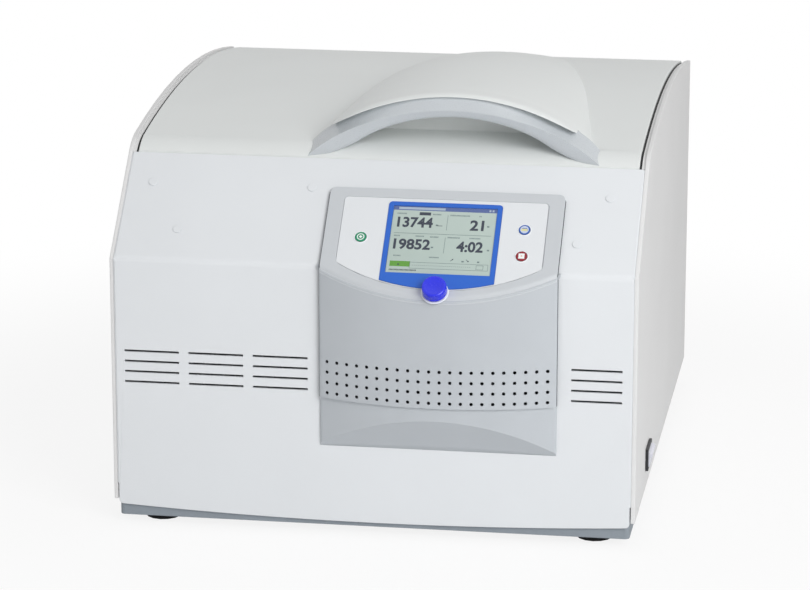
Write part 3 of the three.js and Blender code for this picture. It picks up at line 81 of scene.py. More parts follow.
MIDDLE_X = (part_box("side_cover_left")[0].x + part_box("side_cover_right")[1].x) / 2
FRONT_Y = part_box("front_panel")[0].y
CONSOLE_X = (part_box("console_frame")[0].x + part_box("console_frame")[1].x) / 2
SLOPE_RUN = 98.1
SLOPE_RISE = 90.7
SLOPE = math.atan2(SLOPE_RISE, SLOPE_RUN)
BEND_HEIGHT = 289.5
SLOPE_PLACE = (Matrix.Translation((CONSOLE_X, FRONT_Y, BEND_HEIGHT * MM))
               @ Matrix.Rotation(SLOPE, 4, "X"))
HOUSING_PLACE = Matrix.Translation((MIDDLE_X, FRONT_Y, 0))
CONSOLE_PLACE = Matrix.Translation((CONSOLE_X, FRONT_Y, 0))
CONSOLE_OFFSET = (CONSOLE_X - MIDDLE_X) / MM
# Turns for outlines drawn in (y, z) and carried along x, or drawn in (x, z) and carried along y
ALONG_X = Matrix(((0, 0, 1, 0), (1, 0, 0, 0), (0, 1, 0, 0), (0, 0, 0, 1)))
ALONG_Y = Matrix(((1, 0, 0, 0), (0, 0, 1, 0), (0, 1, 0, 0), (0, 0, 0, 1)))


def linear(code):
    """A colour written as sRGB hex, as the linear numbers that a shader takes."""
    values = [int(code[i:i + 2], 16) / 255 for i in (1, 3, 5)]
    return tuple(c / 12.92 if c <= 0.04045 else ((c + 0.055) / 1.055) ** 2.4 for c in values)


def colour(name, text, code):
    return bpy.props.FloatVectorProperty(name=name, description=text, subtype="COLOR", size=3,
                                         min=0, max=1, default=linear(code))


def length(name, text, millimetres):
    return bpy.props.FloatProperty(name=name, description=text, unit="LENGTH", precision=5,
                                   default=millimetres * MM)


def angle(name, text, radians):
    return bpy.props.FloatProperty(name=name, description=text, subtype="ANGLE", default=radians)


def number(name, text, value):
    return bpy.props.FloatProperty(name=name, description=text, default=value)


# Sizes and colours that a user may change

class StageSettings(bpy.types.PropertyGroup):
    camera_place: bpy.props.FloatVectorProperty(
        name="Camera place", description="Where the camera stands", subtype="TRANSLATION",
        default=(0.58346, -3.80738, 1.2246))
    camera_yaw: angle("Camera yaw", "How far the camera stands to the right of straight ahead", 0.15585)
    camera_pitch: angle("Camera pitch", "How far the camera looks down", 0.26426)
    camera_lens: number("Lens", "Focal length in millimetres on a 36 mm sensor", 159.8)
    ambient: number("Room light", "Strength of the even light from all round", 0.4)
    key_light: number("Key light", "Share of full light that the key lamp adds", 0.56)
    fill_light: number("Fill light", "Share of full light that the fill lamp adds", 0.05)
    top_light: number("Top light", "Share of full light that the overhead lamp adds", 0.06)
    floor_colour: colour("Floor", "Colour of the studio paper", "#F4F4F4")
    paper_white: number("Paper white", "How far the paper near the object is lifted to white", 0.86)
    paper_near: length("Paper near", "Radius inside which the paper shows the shadow", 450)
    paper_far: length("Paper far", "Radius beyond which the paper is plain white", 1100)


class HousingSettings(bpy.types.PropertyGroup):
    coat_colour: colour("Front coat", "Powder coat of the front panel", "#E4E7EA")
    cover_colour: colour("Cover coat", "Powder coat of the side covers", "#E3E3E3")
    tray_colour: colour("Tray coat", "Powder coat of the base tray", "#8D959D")
    edge_radius: length("Edge radius", "Rounding of folded sheet edges", 0.8)


class ConsoleSettings(bpy.types.PropertyGroup):
    frame_colour: colour("Frame", "Moulded frame round the keypad", "#C8CCD0")
    cover_colour: colour("Lower cover", "Moulded cover under the keypad", "#BEC3C8")
    overlay_colour: colour("Overlay", "Printed keypad film", "#E3E6E9")
    bezel_colour: colour("Bezel", "Blue print round the display", "#1F62C8")
    knob_colour: colour("Knob", "Control knob", "#0E1FE2")


class LidSettings(bpy.types.PropertyGroup):
    hood_colour: colour("Hood", "Moulded hood of the lid", "#E6E9E8")
    grip_colour: colour("Grip", "Lacquered grip of the lid", "#C3C8CC")


SETTINGS = {
    "centrifuge_stage": StageSettings,
    "centrifuge_housing": HousingSettings,
    "centrifuge_console": ConsoleSettings,
    "centrifuge_lid": LidSettings,
}


# Materials

# Each finish: its material's name, its colour as sRGB hex or as the setting that holds it, its
# roughness, the width and depth of its grain, the share by which its colour varies and the width of
# one patch of that, then what its shader takes besides, and the stretch of its grain
FINISHES = {
    # Powder-coated steel, stoved: a satin skin with shallow orange peel
    "housing_paint": ("powder_coated_steel_front", "housing.coat_colour", 0.48, 2.2, 0.05, 0.012, 130),
    "cover_paint": ("powder_coated_steel_cover", "housing.cover_colour", 0.5, 2.2, 0.05, 0.012, 130),
    # Powder coat with a fine sand in it: rougher, and more uneven in tone
    "tray_paint": ("powder_coated_steel_tray", "housing.tray_colour", 0.6, 1.2, 0.12, 0.04, 40),
    # ABS moulded in a spark-eroded mould: half matt, with a fine grain
    "lid_plastic": ("moulded_abs_hood", "lid.hood_colour", 0.46, 1.4, 0.03, 0.012, 160),
    "frame_plastic": ("moulded_abs_frame", "console.frame_colour", 0.5, 1.0, 0.03, 0.012, 60),
    "console_plastic": ("moulded_abs_cover", "console.cover_colour", 0.55, 1.0, 0.04, 0.015, 60),
    # Lacquered ABS: a soft silver-grey sheen
    "grip_plastic": ("lacquered_abs_grip", "lid.grip_colour", 0.3, 1.0, 0.015, 0.015, 50,
                     {"Coat Weight": 0.4, "Coat Roughness": 0.14}),
    # Polyester film printed from behind: an even colour under an embossed satin face
    "overlay_film": ("printed_polyester_white", "console.overlay_colour", 0.38, 0.8, 0.01, 0.006, 60),
    "bezel_film": ("printed_polyester_blue", "console.bezel_colour", 0.34, 0.8, 0.01, 0.02, 40),
    # Painted highlight: the raised rim round each key, a whiter copy of the film, for the light along its
    # edge
    "polyester_rim": ("polyester_rim", "#F4F7FA", 0.4, 0.6, 0.002, 0.01, 10),
    # Liquid crystal cell behind a clear film: pale green-grey and glossy
    "display_glass": ("liquid_crystal_glass", "#B4C4BD", 0.16, 0.8, 0.002, 0.02, 45,
                      {"Coat Weight": 0.6, "Coat Roughness": 0.05}),
    # Gloss ABS, dyed through: a deep colour with clear highlights
    "knob_plastic": ("gloss_abs_knob", "console.knob_colour", 0.24, 1.2, 0.008, 0.03, 12,
                     {"Coat Weight": 0.3, "Coat Roughness": 0.1}),
    # Half-matt ABS, moulded white
    "moulded_collar": ("moulded_collar_white", "#EEF1F5", 0.4, 0.8, 0.005, 0.01, 20),
    # Domed polyester keys, screen-printed: satin, with an even colour
    "green_key": ("printed_key_green", "#1F8F68", 0.35, 0.8, 0.01, 0.03, 6),
    "blue_key": ("printed_key_blue", "#2F5FB4", 0.35, 0.8, 0.01, 0.03, 6),
    "red_key": ("printed_key_red", "#8E1F2C", 0.35, 0.8, 0.01, 0.03, 6),
    # Stainless steel, spun and brushed round its axis: fine lines in a soft shine
    "stainless_steel": ("spun_stainless_steel", "#B9BCC0", 0.3, 1.2, 0.01, 0.03, 30,
                        {"Metallic": 1.0}, (0.25, 0.25, 4)),
    # Zinc-plated steel: dull, faintly mottled
    "plated_steel": ("zinc_plated_steel", "#A9ADB2", 0.42, 2.0, 0.02, 0.05, 12, {"Metallic": 1.0}),
    # Sand-cast aluminium: dull, with a coarse skin
    "cast_aluminium": ("cast_aluminium", "#A6A9AD", 0.5, 1.6, 0.12, 0.04, 25, {"Metallic": 1.0}),
    # Turned and hard-anodised aluminium: dark grey, with fine turning marks
    "rotor_aluminium": ("anodised_aluminium", "#4A4D52", 0.36, 0.8, 0.01, 0.03, 25,
                        {"Metallic": 0.8}, (0.4, 0.4, 3)),
    # Moulded polyamide: black, half matt
    "black_plastic": ("moulded_polyamide_black", "#24262A", 0.5, 0.9, 0.03, 0.05, 20),
    # Moulded rubber: matt, with a dusty look
    "black_rubber": ("moulded_rubber_black", "#1B1C1E", 0.8, 1.0, 0.06, 0.08, 15),
    # Painted shade: a matt dark grey for the strips along the console's sides, standing for the shade of its
    # side walls
    "gasket_rubber": ("gasket_rubber", "#565B60", 0.8, 0.4, 0.005, 0.02, 30),
    # Glass fibre board under green solder mask: satin, with the tracks showing as unevenness
    "circuit_board": ("solder_mask_green", "#2C5E3C", 0.4, 2.5, 0.03, 0.1, 8),
    # Gloss nylon: off-white and smooth
    "rocker_plastic": ("gloss_nylon_rocker", "#DCDDE8", 0.25, 0.9, 0.01, 0.01, 8),
}
# Liquid crystal cells that are switched on: flat tones with a slight gloss
for name, code in (("lcd_ink", "#333A48"), ("lcd_grey", "#6F7F80"), ("lcd_band", "#55679B"),
                   ("lcd_tint", "#A9B7C6"), ("lcd_green", "#5F9A3A")):
    FINISHES[name] = (name, code, 0.3, 0.6, 0.001, 0.02, 20)
# Screen-printed ink on the keys: flat and satin
for code in ("#F2F5F4", "#C9D3E6", "#4A62B4", "#DDD9A0", "#E9B9A6"):
    FINISHES[code] = ("key_print_" + code[1:], code, 0.38, 0.6, 0.002, 0.01, 8)

GLOSS_SPREAD = 0.05
# Most of a noise texture's values lie between these
NOISE_LOW, NOISE_HIGH = 0.3, 0.7


def add_node(tree, kind, inputs=None, **settings):
    """Adds a node, gives it its settings, and sets or links its inputs."""
    node = tree.nodes.new(kind)
    for name, value in settings.items():
        setattr(node, name, value)
    for name, value in (inputs or {}).items():
        if isinstance(value, bpy.types.NodeSocket):
            tree.links.new(value, node.inputs[name])
        else:
            node.inputs[name].default_value = value
    return node


def surface(name, tint, roughness, grain, relief, mottle, patch, sockets=None, stretch=(1, 1, 1)):
    """A material whose colour varies by the share `mottle` over patches `patch` millimetres wide,
    and whose gloss and relief have ripples `grain` millimetres wide and `relief` deep."""
    material = bpy.data.materials.new(name)
    material.use_nodes = True
    tree = material.node_tree
    tree.nodes.clear()
    place = add_node(tree, "ShaderNodeTexCoord").outputs["Object"]
    turned = add_node(tree, "ShaderNodeMapping", {"Vector": place, "Scale": stretch})
    broad = add_node(tree, "ShaderNodeTexNoise",
                     {"Vector": place, "Scale": 1 / (patch * MM), "Detail": 2.0})
    fine = add_node(tree, "ShaderNodeTexNoise",
                    {"Vector": turned.outputs["Vector"], "Scale": 1 / (grain * MM), "Detail": 3.0})
    tone = add_node(tree, "ShaderNodeMapRange",
                    {"Value": broad.outputs["Fac"], "From Min": NOISE_LOW, "From Max": NOISE_HIGH,
                     "To Min": 1 - mottle, "To Max": 1 + mottle})
    coloured = add_node(tree, "ShaderNodeVectorMath",
                        {0: tuple(tint), "Scale": tone.outputs["Result"]}, operation="SCALE")
    gloss = add_node(tree, "ShaderNodeMapRange",
                     {"Value": fine.outputs["Fac"], "From Min": NOISE_LOW, "From Max": NOISE_HIGH,
                      "To Min": roughness - GLOSS_SPREAD, "To Max": roughness + GLOSS_SPREAD})
    bump = add_node(tree, "ShaderNodeBump",
                    {"Height": fine.outputs["Fac"], "Distance": relief * MM, "Strength": 1.0})
    shader = add_node(tree, "ShaderNodeBsdfPrincipled",
                      {"Base Color": coloured.outputs["Vector"], "Roughness": gloss.outputs["Result"],
                       "Normal": bump.outputs["Normal"], **(sockets or {})})
    add_node(tree, "ShaderNodeOutputMaterial", {"Surface": shader.outputs["BSDF"]})
    return material


def finish(kind):
    """The material for one of the finishes, made once."""
    name, tint, *rest = FINISHES[kind]
    if name in bpy.data.materials:
        return bpy.data.materials[name]
    if tint.startswith("#"):
        return surface(name, linear(tint), *rest)
    group, setting = tint.split(".")
    return surface(name, getattr(getattr(bpy.context.scene, "centrifuge_" + group), setting), *rest)


# Ways of making a piece

def settle(piece, body, slot, nodes=(), kind=None):
    """Links a piece, gives it its body and the finish of its slot or another, and hides the CAD nodes it
    stands for.
    """
    bpy.context.scene.collection.objects.link(piece)
    piece.data.materials.append(finish(kind or slot))
    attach(piece, body)
    if nodes:
        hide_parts(*nodes)


def shade(piece, crease=45):
    """Smooth faces that keep their flats flat, with creases sharper than `crease` left sharp."""
    for face in piece.data.polygons:
        face.use_smooth = True
    piece.data.set_sharp_from_angle(angle=math.radians(crease))
    weighted = piece.modifiers.new("flats", "WEIGHTED_NORMAL")
    weighted.keep_sharp = True
    weighted.weight = 60


def to_piece(bm, name, crease=None):
    """An object from a bmesh, which is used up; it is shaded smooth where `crease` is given."""
    mesh = bpy.data.meshes.new(name)
    bm.to_mesh(mesh)
    bm.free()
    piece = bpy.data.objects.new(name, mesh)
    if crease:
        shade(piece, crease)
    return piece


def closed(bm, place=Matrix()):
    """Welds a bmesh, moves it to its place and turns its faces outwards."""
    bmesh.ops.remove_doubles(bm, verts=bm.verts, dist=WELD)
    bm.transform(place)
    bmesh.ops.recalc_face_normals(bm, faces=bm.faces)
    if all(edge.is_manifold for edge in bm.edges) and bm.calc_volume(signed=True) < 0:
        bmesh.ops.reverse_faces(bm, faces=bm.faces)
    return bm


def prism(bm, outline, low, high):
    """Adds an outline in (x, y), carried from z = low to z = high."""
    ring = [bm.verts.new((x * MM, y * MM, low * MM)) for x, y in outline]
    base = bm.faces.new(ring)
    copy = bmesh.ops.extrude_face_region(bm, geom=[base], use_keep_orig=True)["geom"]
    top = [item for item in copy if isinstance(item, bmesh.types.BMVert)]
    bmesh.ops.translate(bm, vec=(0, 0, (high - low) * MM), verts=top)


def plate(outline, low, high, place=Matrix()):
    """A new bmesh of one prism, in its place."""
    bm = bmesh.new()
    prism(bm, outline, low, high)
    return closed(bm, place)


def spun(bm, profile, steps, x=0, y=0):
    """Adds a profile in (radius, z), turned round an upright axis at (x, y)."""
    verts = [bm.verts.new(((x + r) * MM, y * MM, z * MM)) for r, z in profile]
    edges = [bm.edges.new(pair) for pair in zip(verts, verts[1:])]
    bmesh.ops.spin(bm, geom=verts + edges, cent=(x * MM, y * MM, 0), axis=(0, 0, 1),
                   angle=2 * math.pi, steps=steps, use_merge=True)


def mapped_grid(columns, rows, place):
    """A grid whose vertices go where `place` puts them, given shares from 0 to 1 both ways."""
    bm = bmesh.new()
    bmesh.ops.create_grid(bm, x_segments=columns, y_segments=rows, size=0.5)
    for vert in bm.verts:
        vert.co = place(vert.co.x + 0.5, vert.co.y + 0.5)
    return bm


def mirrored(bm):
    """Adds the mirror image across the housing's middle plane."""
    copy = bmesh.ops.duplicate(bm, geom=bm.verts[:] + bm.edges[:] + bm.faces[:])["geom"]
    verts = [item for item in copy if isinstance(item, bmesh.types.BMVert)]
    bmesh.ops.scale(bm, vec=(-1, 1, 1), verts=verts)
    return bm


def combined(body, tools, operation):
    """A closed bmesh joined with others or cut by them. All that go in are used up."""
    made = [to_piece(bm, "work") for bm in (body, *tools)]
    for piece in made:
        bpy.context.scene.collection.objects.link(piece)
    for tool in made[1:]:
        step = made[0].modifiers.new("step", "BOOLEAN")
        step.object = tool
        step.operation = operation
        step.solver = "MANIFOLD"
    graph = bpy.context.evaluated_depsgraph_get()
    bm = bmesh.new()
    bm.from_mesh(made[0].evaluated_get(graph).to_mesh())
    for piece in made:
        mesh = piece.data
        bpy.data.objects.remove(piece)
        bpy.data.meshes.remove(mesh)
    return bm


def box(x0, y0, x1, y1):
    return [(x0, y0), (x1, y0), (x1, y1), (x0, y1)]


def disc(radius, sides=32, across=0.0, up=0.0):
    turns = (2 * math.pi * k / sides for k in range(sides))
    return [(across + radius * math.cos(t), up + radius * math.sin(t)) for t in turns]


def arc_line(half, rise, shares):
    """Points of an arc over the chord from -half to half; `shares` run from -1 to 1."""
    radius = (half * half + rise * rise) / (2 * rise)
    reach = math.asin(half / radius)
    return [(radius * math.sin(reach * t), radius * math.cos(reach * t) - radius + rise) for t in shares]


def share_between(value, start, end):
    """How far a value has come from start to end, from 0 to 1."""
    return min(max((value - start) / (end - start), 0), 1)


def spot(edge, place):
    """The middle of an edge, seen from `place`."""
    return place.inverted() @ ((edge.verts[0].co + edge.verts[1].co) / 2) / MM


def runs_along(edge, place, axis):
    """Whether an edge runs along the axis of `place` numbered 0, 1 or 2, within 18 degrees."""
    way = place.to_3x3().inverted() @ (edge.verts[1].co - edge.verts[0].co).normalized()
    return abs(way[axis]) > 0.95


def rounded(bm, edges, radius, segments, slide=False):
    bmesh.ops.bevel(bm, geom=edges, offset=radius * MM, offset_type="OFFSET", affect="EDGES",
                    segments=segments, profile=0.5, material=-1, loop_slide=slide,
                    clamp_overlap=False)


def dressed(node, edge, segments=2, rounds=()):
    """A piece in the shape of a CAD node: welded, its flats whole again and its edges rounded.
    `rounds` lists tests for edges that take a larger radius, each with that radius and its steps."""
    flat, crease = math.radians(0.3), math.radians(32)
    bm = bmesh.new()
    bm.from_mesh(frame["nodes"][node].data)
    bmesh.ops.remove_doubles(bm, verts=bm.verts, dist=WELD)
    bmesh.ops.dissolve_limit(bm, angle_limit=flat, verts=bm.verts, edges=bm.edges)
    for test, radius, steps in rounds:
        rounded(bm, [e for e in bm.edges if e.is_manifold and test(e)], radius, steps)
    if edge:
        sharp = [e for e in bm.edges if e.is_manifold and e.calc_face_angle() > crease]
        rounded(bm, sharp, edge, segments, slide=True)
    piece = to_piece(bm, node + "_skin", 45)
    settle(piece, frame["nodes"][node]["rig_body"], SLOT_OF[node], [node])
    return piece


class PieceOperator:
    """What every operator here shares: it makes its piece when it is run."""
    bl_options = {"REGISTER"}

    def execute(self, context):
        self.make(context.scene)
        return {"FINISHED"}


# Stage

# Each lamp's place and width in metres, and the setting for its light
LAMPS = {
    "key_lamp": ((1.95, -2.44, 1.79), 1.8, "key_light"),
    "fill_lamp": ((-2.6, -1.8, 1.4), 2.0, "fill_light"),
    "top_lamp": ((0.2, 0.3, 3.2), 2.4, "top_light"),
}
LAMP_TARGET = Vector((0, 0, 0.22))
SENSOR_WIDTH = 36
WHITE = (1, 1, 1, 1)


def stood(scene, thing, place, back):
    """Puts a camera or lamp at its place, with its back turned towards the direction `back`."""
    scene.collection.objects.link(thing)
    thing.matrix_world = Matrix.Translation(place) @ back.to_track_quat("Z", "Y").to_matrix().to_4x4()


class CENTRIFUGE_OT_stage(PieceOperator, bpy.types.Operator):
    """Sets the camera, the lamps, the room light and the floor"""
    bl_idname = "centrifuge.stage"
    bl_label = "Stage"

    def make(self, scene):
        look = scene.centrifuge_stage
        self.camera(scene, look)
        for name in LAMPS:
            self.lamp(scene, look, name)
        self.room(scene, look)
        self.floor(scene, look)
        scene.view_settings.view_transform = "Standard"

    def camera(self, scene, look):
        camera = bpy.data.objects.new("camera", bpy.data.cameras.new("camera"))
        yaw, pitch = look.camera_yaw, look.camera_pitch
        level = math.cos(pitch)
        back = Vector((math.sin(yaw) * level, -math.cos(yaw) * level, math.sin(pitch)))
        stood(scene, camera, look.camera_place, back)
        scene.camera = camera
        camera.data.sensor_fit = "HORIZONTAL"
        camera.data.sensor_width = SENSOR_WIDTH
        camera.data.lens = look.camera_lens
        camera.data.clip_end = 60

    def lamp(self, scene, look, name):
        """A square lamp that adds its share of full light to a surface that faces it."""
        place, width, setting = LAMPS[name]
        lamp = bpy.data.objects.new(name, bpy.data.lights.new(name, "AREA"))
        back = Vector(place) - LAMP_TARGET
        stood(scene, lamp, place, back)
        lamp.data.size = width
        lamp.data.energy = getattr(look, setting) * (math.pi * back.length) ** 2

    def room(self, scene, look):
        """Even light from all round; the camera, gloss and glass see it as plain white."""
        world = bpy.data.worlds.new("room")
        scene.world = world
        world.use_nodes = True
        tree = world.node_tree
        tree.nodes.clear()
        ray = add_node(tree, "ShaderNodeLightPath").outputs
        seen = add_node(tree, "ShaderNodeMath", {0: ray["Is Camera Ray"], 1: ray["Is Glossy Ray"]},
                        operation="MAXIMUM")
        shown = add_node(tree, "ShaderNodeMath", {0: seen.outputs[0], 1: ray["Is Transmission Ray"]},
                         operation="MAXIMUM")
        strength = add_node(tree, "ShaderNodeMapRange",
                            {"Value": shown.outputs[0], "To Min": look.ambient, "To Max": 1.0})
        light = add_node(tree, "ShaderNodeBackground",
                         {"Color": WHITE, "Strength": strength.outputs["Result"]})
        add_node(tree, "ShaderNodeOutputWorld", {"Surface": light.outputs["Background"]})

    def floor(self, scene, look):
        """White paper that shows the shadow near the object and turns plain white far from it."""
        bm = bmesh.new()
        bmesh.ops.create_grid(bm, x_segments=1, y_segments=1, size=30)
        floor = to_piece(bm, "studio_floor")
        scene.collection.objects.link(floor)
        material = bpy.data.materials.new("matt_studio_paper")
        material.use_nodes = True
        tree = material.node_tree
        tree.nodes.clear()
        paper = add_node(tree, "ShaderNodeBsdfDiffuse", {"Color": (*look.floor_colour, 1)})
        white = add_node(tree, "ShaderNodeEmission", {"Color": WHITE, "Strength": 1.0})
        place = add_node(tree, "ShaderNodeTexCoord")
        radius = add_node(tree, "ShaderNodeVectorMath", {0: place.outputs["Object"]},
                          operation="LENGTH")
        far = add_node(tree, "ShaderNodeMapRange",
                       {"Value": radius.outputs["Value"], "From Min": look.paper_near,
                        "From Max": look.paper_far}, interpolation_type="SMOOTHSTEP")
        lifted = add_node(tree, "ShaderNodeMapRange",
                          {"Value": far.outputs["Result"], "To Min": look.paper_white, "To Max": 1.0})
        ray = add_node(tree, "ShaderNodeLightPath").outputs
        seen = add_node(tree, "ShaderNodeMath", {0: ray["Is Camera Ray"], 1: lifted.outputs["Result"]},
                        operation="MULTIPLY")
        both = add_node(tree, "ShaderNodeMixShader",
                        {0: seen.outputs[0], 1: paper.outputs[0], 2: white.outputs[0]})
        add_node(tree, "ShaderNodeOutputMaterial", {"Surface": both.outputs[0]})
        floor.data.materials.append(material)


# Housing

PANEL_HALF = 269.5
COVER_INNER = 270.5
# How near an edge lies to a side, and to the middle of the bend in y and in z
CORNER_ZONE = 0.5
BEND_BACK, BEND_DEPTH, BEND_RISE = 0.7, 1.6, 2.5
PANEL_CORNER_TOP, TRAY_CORNER_BACK = 60, 10
# The panel's returns: how far back they start and end, and their foot
RETURN_BACK, RETURN_DEEP, RETURN_FOOT = 0.7, 6, 45
# The side covers' top edges lie within COVER_RIM_DEPTH of the crown, and are lifted towards it
COVER_RAISE = 2.3
COVER_RIM_DEPTH = 9
RIM_DROP = 4.6 - COVER_RAISE
STRIP_FRONT, STRIP_REAR, STRIP_STEPS = 100.5, 626, 60


def bend_edge(edge):
    """Edges of the bend between the panel's slope and its upright front, outside and inside."""
    place = spot(edge, HOUSING_PLACE)
    near = abs(place.y - BEND_BACK) < BEND_DEPTH and abs(place.z - BEND_HEIGHT) < BEND_RISE
    return near and runs_along(edge, HOUSING_PLACE, 0)


def lower_panel_corner(edge):
    place = spot(edge, HOUSING_PLACE)
    low = abs(place.x) > PANEL_HALF - CORNER_ZONE and place.z < PANEL_CORNER_TOP
    return low and runs_along(edge, HOUSING_PLACE, 1)


def tray_corner(edge):
    place = spot(edge, HOUSING_PLACE)
    front = abs(place.x) > PANEL_HALF - CORNER_ZONE and place.y < TRAY_CORNER_BACK
    return front and runs_along(edge, HOUSING_PLACE, 2)


def seam_strips():
    """The panel's folded returns, seen in the narrow seams beside the front."""
    top = BEND_HEIGHT + SLOPE_RISE
    line = [(RETURN_BACK, RETURN_FOOT), (RETURN_BACK, BEND_HEIGHT - RETURN_BACK / 2),
            (SLOPE_RUN, top - RETURN_BACK * 1.4), (SLOPE_RUN, top - RETURN_DEEP),
            (RETURN_DEEP, BEND_HEIGHT - RETURN_DEEP / 2), (RETURN_DEEP, RETURN_FOOT)]
    strip = plate(line, PANEL_HALF - 0.4, COVER_INNER + 0.05, ALONG_X)
    strips = to_piece(closed(mirrored(strip), HOUSING_PLACE), "panel_returns")
    settle(strips, "housing", SLOT_OF["front_panel"])


def raise_cover_top(piece):
    """Lifts the curved top edge of a side cover nearer to the crown of the lid."""
    for vert in piece.data.vertices:
        place = (HOUSING_PLACE.inverted() @ vert.co) / MM
        if place.y > HOOD_FRONT and place.z > crown_height(place.y) - COVER_RIM_DEPTH:
            vert.co.z += COVER_RAISE * MM


def crown_strips(name, body, slot, inner, outer, drop, depth):
    """A pair of strips under the lid's crown, one along each side."""
    rows = [STRIP_FRONT + (STRIP_REAR - STRIP_FRONT) * i / STRIP_STEPS for i in range(STRIP_STEPS + 1)]
    top = [(y, crown_height(y) - drop) for y in rows]
    low = [(y, crown_height(y) - drop - depth) for y in reversed(rows)]
    strip = plate(top + low, inner, outer, ALONG_X)
    settle(to_piece(closed(mirrored(strip), HOUSING_PLACE), name, 45), body, slot)


def lid_side_strips():
    """Black strips along the lid's sides, whose black is painted shade in the gap between lid and covers, and
    the covers' inner rims next to them.
    """
    crown_strips("lid_side_seals", "lid", "black_rubber", inner=HOOD_HALF + 0.15,
                 outer=HOOD_HALF + 2.2, drop=2.6, depth=4.5)
    crown_strips("cover_rims", "housing", SLOT_OF["side_cover_left"], inner=HOOD_HALF + 2.4,
                 outer=COVER_INNER - 0.05, drop=RIM_DROP, depth=6)


class CENTRIFUGE_OT_housing(PieceOperator, bpy.types.Operator):
    """Dresses the sheet-metal housing, its plugs, tray and feet"""
    bl_idname = "centrifuge.housing"
    bl_label = "Housing"

    def make(self, scene):
        sheet_edge = scene.centrifuge_housing.edge_radius / MM
        for node in ("rear_panel", "top_deck"):
            dressed(node, sheet_edge)
        for node in ("side_cover_left", "side_cover_right"):
            raise_cover_top(dressed(node, sheet_edge))
        # The slots in the front are punched, so their edges are crisper than the folds
        dressed("front_panel", 0.4 * sheet_edge,
                rounds=((bend_edge, 5.0, 5), (lower_panel_corner, 4.0, 4)))
        dressed("base_tray", sheet_edge, rounds=((tray_corner, 5.0, 5),))
        seam_strips()
        lid_side_strips()
        for node in frame["nodes"]:
            if node.startswith("foot_"):
                dressed(node, 0.8)
            if node.startswith("panel_plug_"):
                dressed(node, 0.35)


# Console. Here x runs from the console's middle, and s is the way up the slope from the bend.

CONSOLE_HALF = 122.8
CONSOLE_TOP = 96.4
# How far the console stands before the panel at its middle and at its sides
CONSOLE_BULGE = 28.5
CONSOLE_EDGE = 4
BULGE_DEPTH = CONSOLE_BULGE - CONSOLE_EDGE
BULGE_RADIUS = (CONSOLE_HALF ** 2 + BULGE_DEPTH ** 2) / (2 * BULGE_DEPTH)
# The frame's depth; what of it lies behind FRAME_BACK is lifted
FRAME_DEPTH = 3.3
FRAME_BACK, FRAME_LIFT = -2.05, 2.75
# Its brow's edges lie this near to the bulge, and this far above the bend's own slope
BROW_DEPTH, BROW_RISE = 0.8, 3
# The holes through the lower cover
HOLE_COLUMNS, HOLE_ROWS = 22, 4
HOLE_PITCH, ROW_PITCH = 10.91, 11.1
TOP_ROW = 190.2
HOLE_RADIUS = 1.6
# The rounded rim of a hole, as radius and set-back
HOLE_RINGS = ((HOLE_RADIUS + 0.45, 0.0), (HOLE_RADIUS, 0.35))
HOLE_TOP = TOP_ROW + ROW_PITCH / 2
HOLE_LOW = HOLE_TOP - HOLE_ROWS * ROW_PITCH
# Under the holes the cover steps in to a facet, over a scoop that runs down to the panel
LIP_RISE = 0.5
CREASE_STEP = 3
SCOOP_PITCH, SCOOP_FOOT = 0.685, 97
PANEL_GAP = 0.3
# The cover stands proud of the frame, laps over its lower edge and ends in a rounded crest
COVER_PROUD = 1.5
COVER_LAP = 6.4
CREST_RADIUS = 2.4
COVER_WALL = 2.6
COVER_SIDE = CONSOLE_HALF + 0.4
# The rounded upright edge of the lower cover, from its side inwards, as x and set-back
COVER_EDGE = ((COVER_SIDE, 3.6), (COVER_SIDE, 1.6), (COVER_SIDE - 0.4, 0.5), (COVER_SIDE - 1.3, 0.05))


def bulge(x):
    """How far the console's front stands before the panel, as y, at x from its middle."""
    return BULGE_RADIUS - CONSOLE_BULGE - math.sqrt(BULGE_RADIUS ** 2 - x * x)


def corners_at(half, *heights, reach=3.0):
    """A test for edges that stand square on the slope near (-half, s) or (half, s)."""
    def test(edge):
        place = spot(edge, SLOPE_PLACE)
        near = any(math.hypot(abs(place.x) - half, place.y - s) < reach for s in heights)
        return near and runs_along(edge, SLOPE_PLACE, 2)
    return test


def cover_columns():
    """Places across the lower cover, each as x and its set-back: three steps to a hole cell,
    and a rounded edge with a short side at either end."""
    cells = 3 * HOLE_COLUMNS
    half = HOLE_COLUMNS * HOLE_PITCH / 2
    inner = [(half * (2 * i / cells - 1), 0.0) for i in range(cells + 1)]
    return [(-x, back) for x, back in COVER_EDGE] + inner + list(reversed(COVER_EDGE))


def cover_rows():
    """Steps from the foot of the lower cover to its top, each as its zone and a share of it."""
    zones = (("scoop", 6), ("facet", 5), ("lip", 3), ("holes", 3 * HOLE_ROWS), ("face", 10), ("crest", 4))
    return [(zone, i / count) for zone, count in zones for i in range(count)] + [("crest", 1.0)]


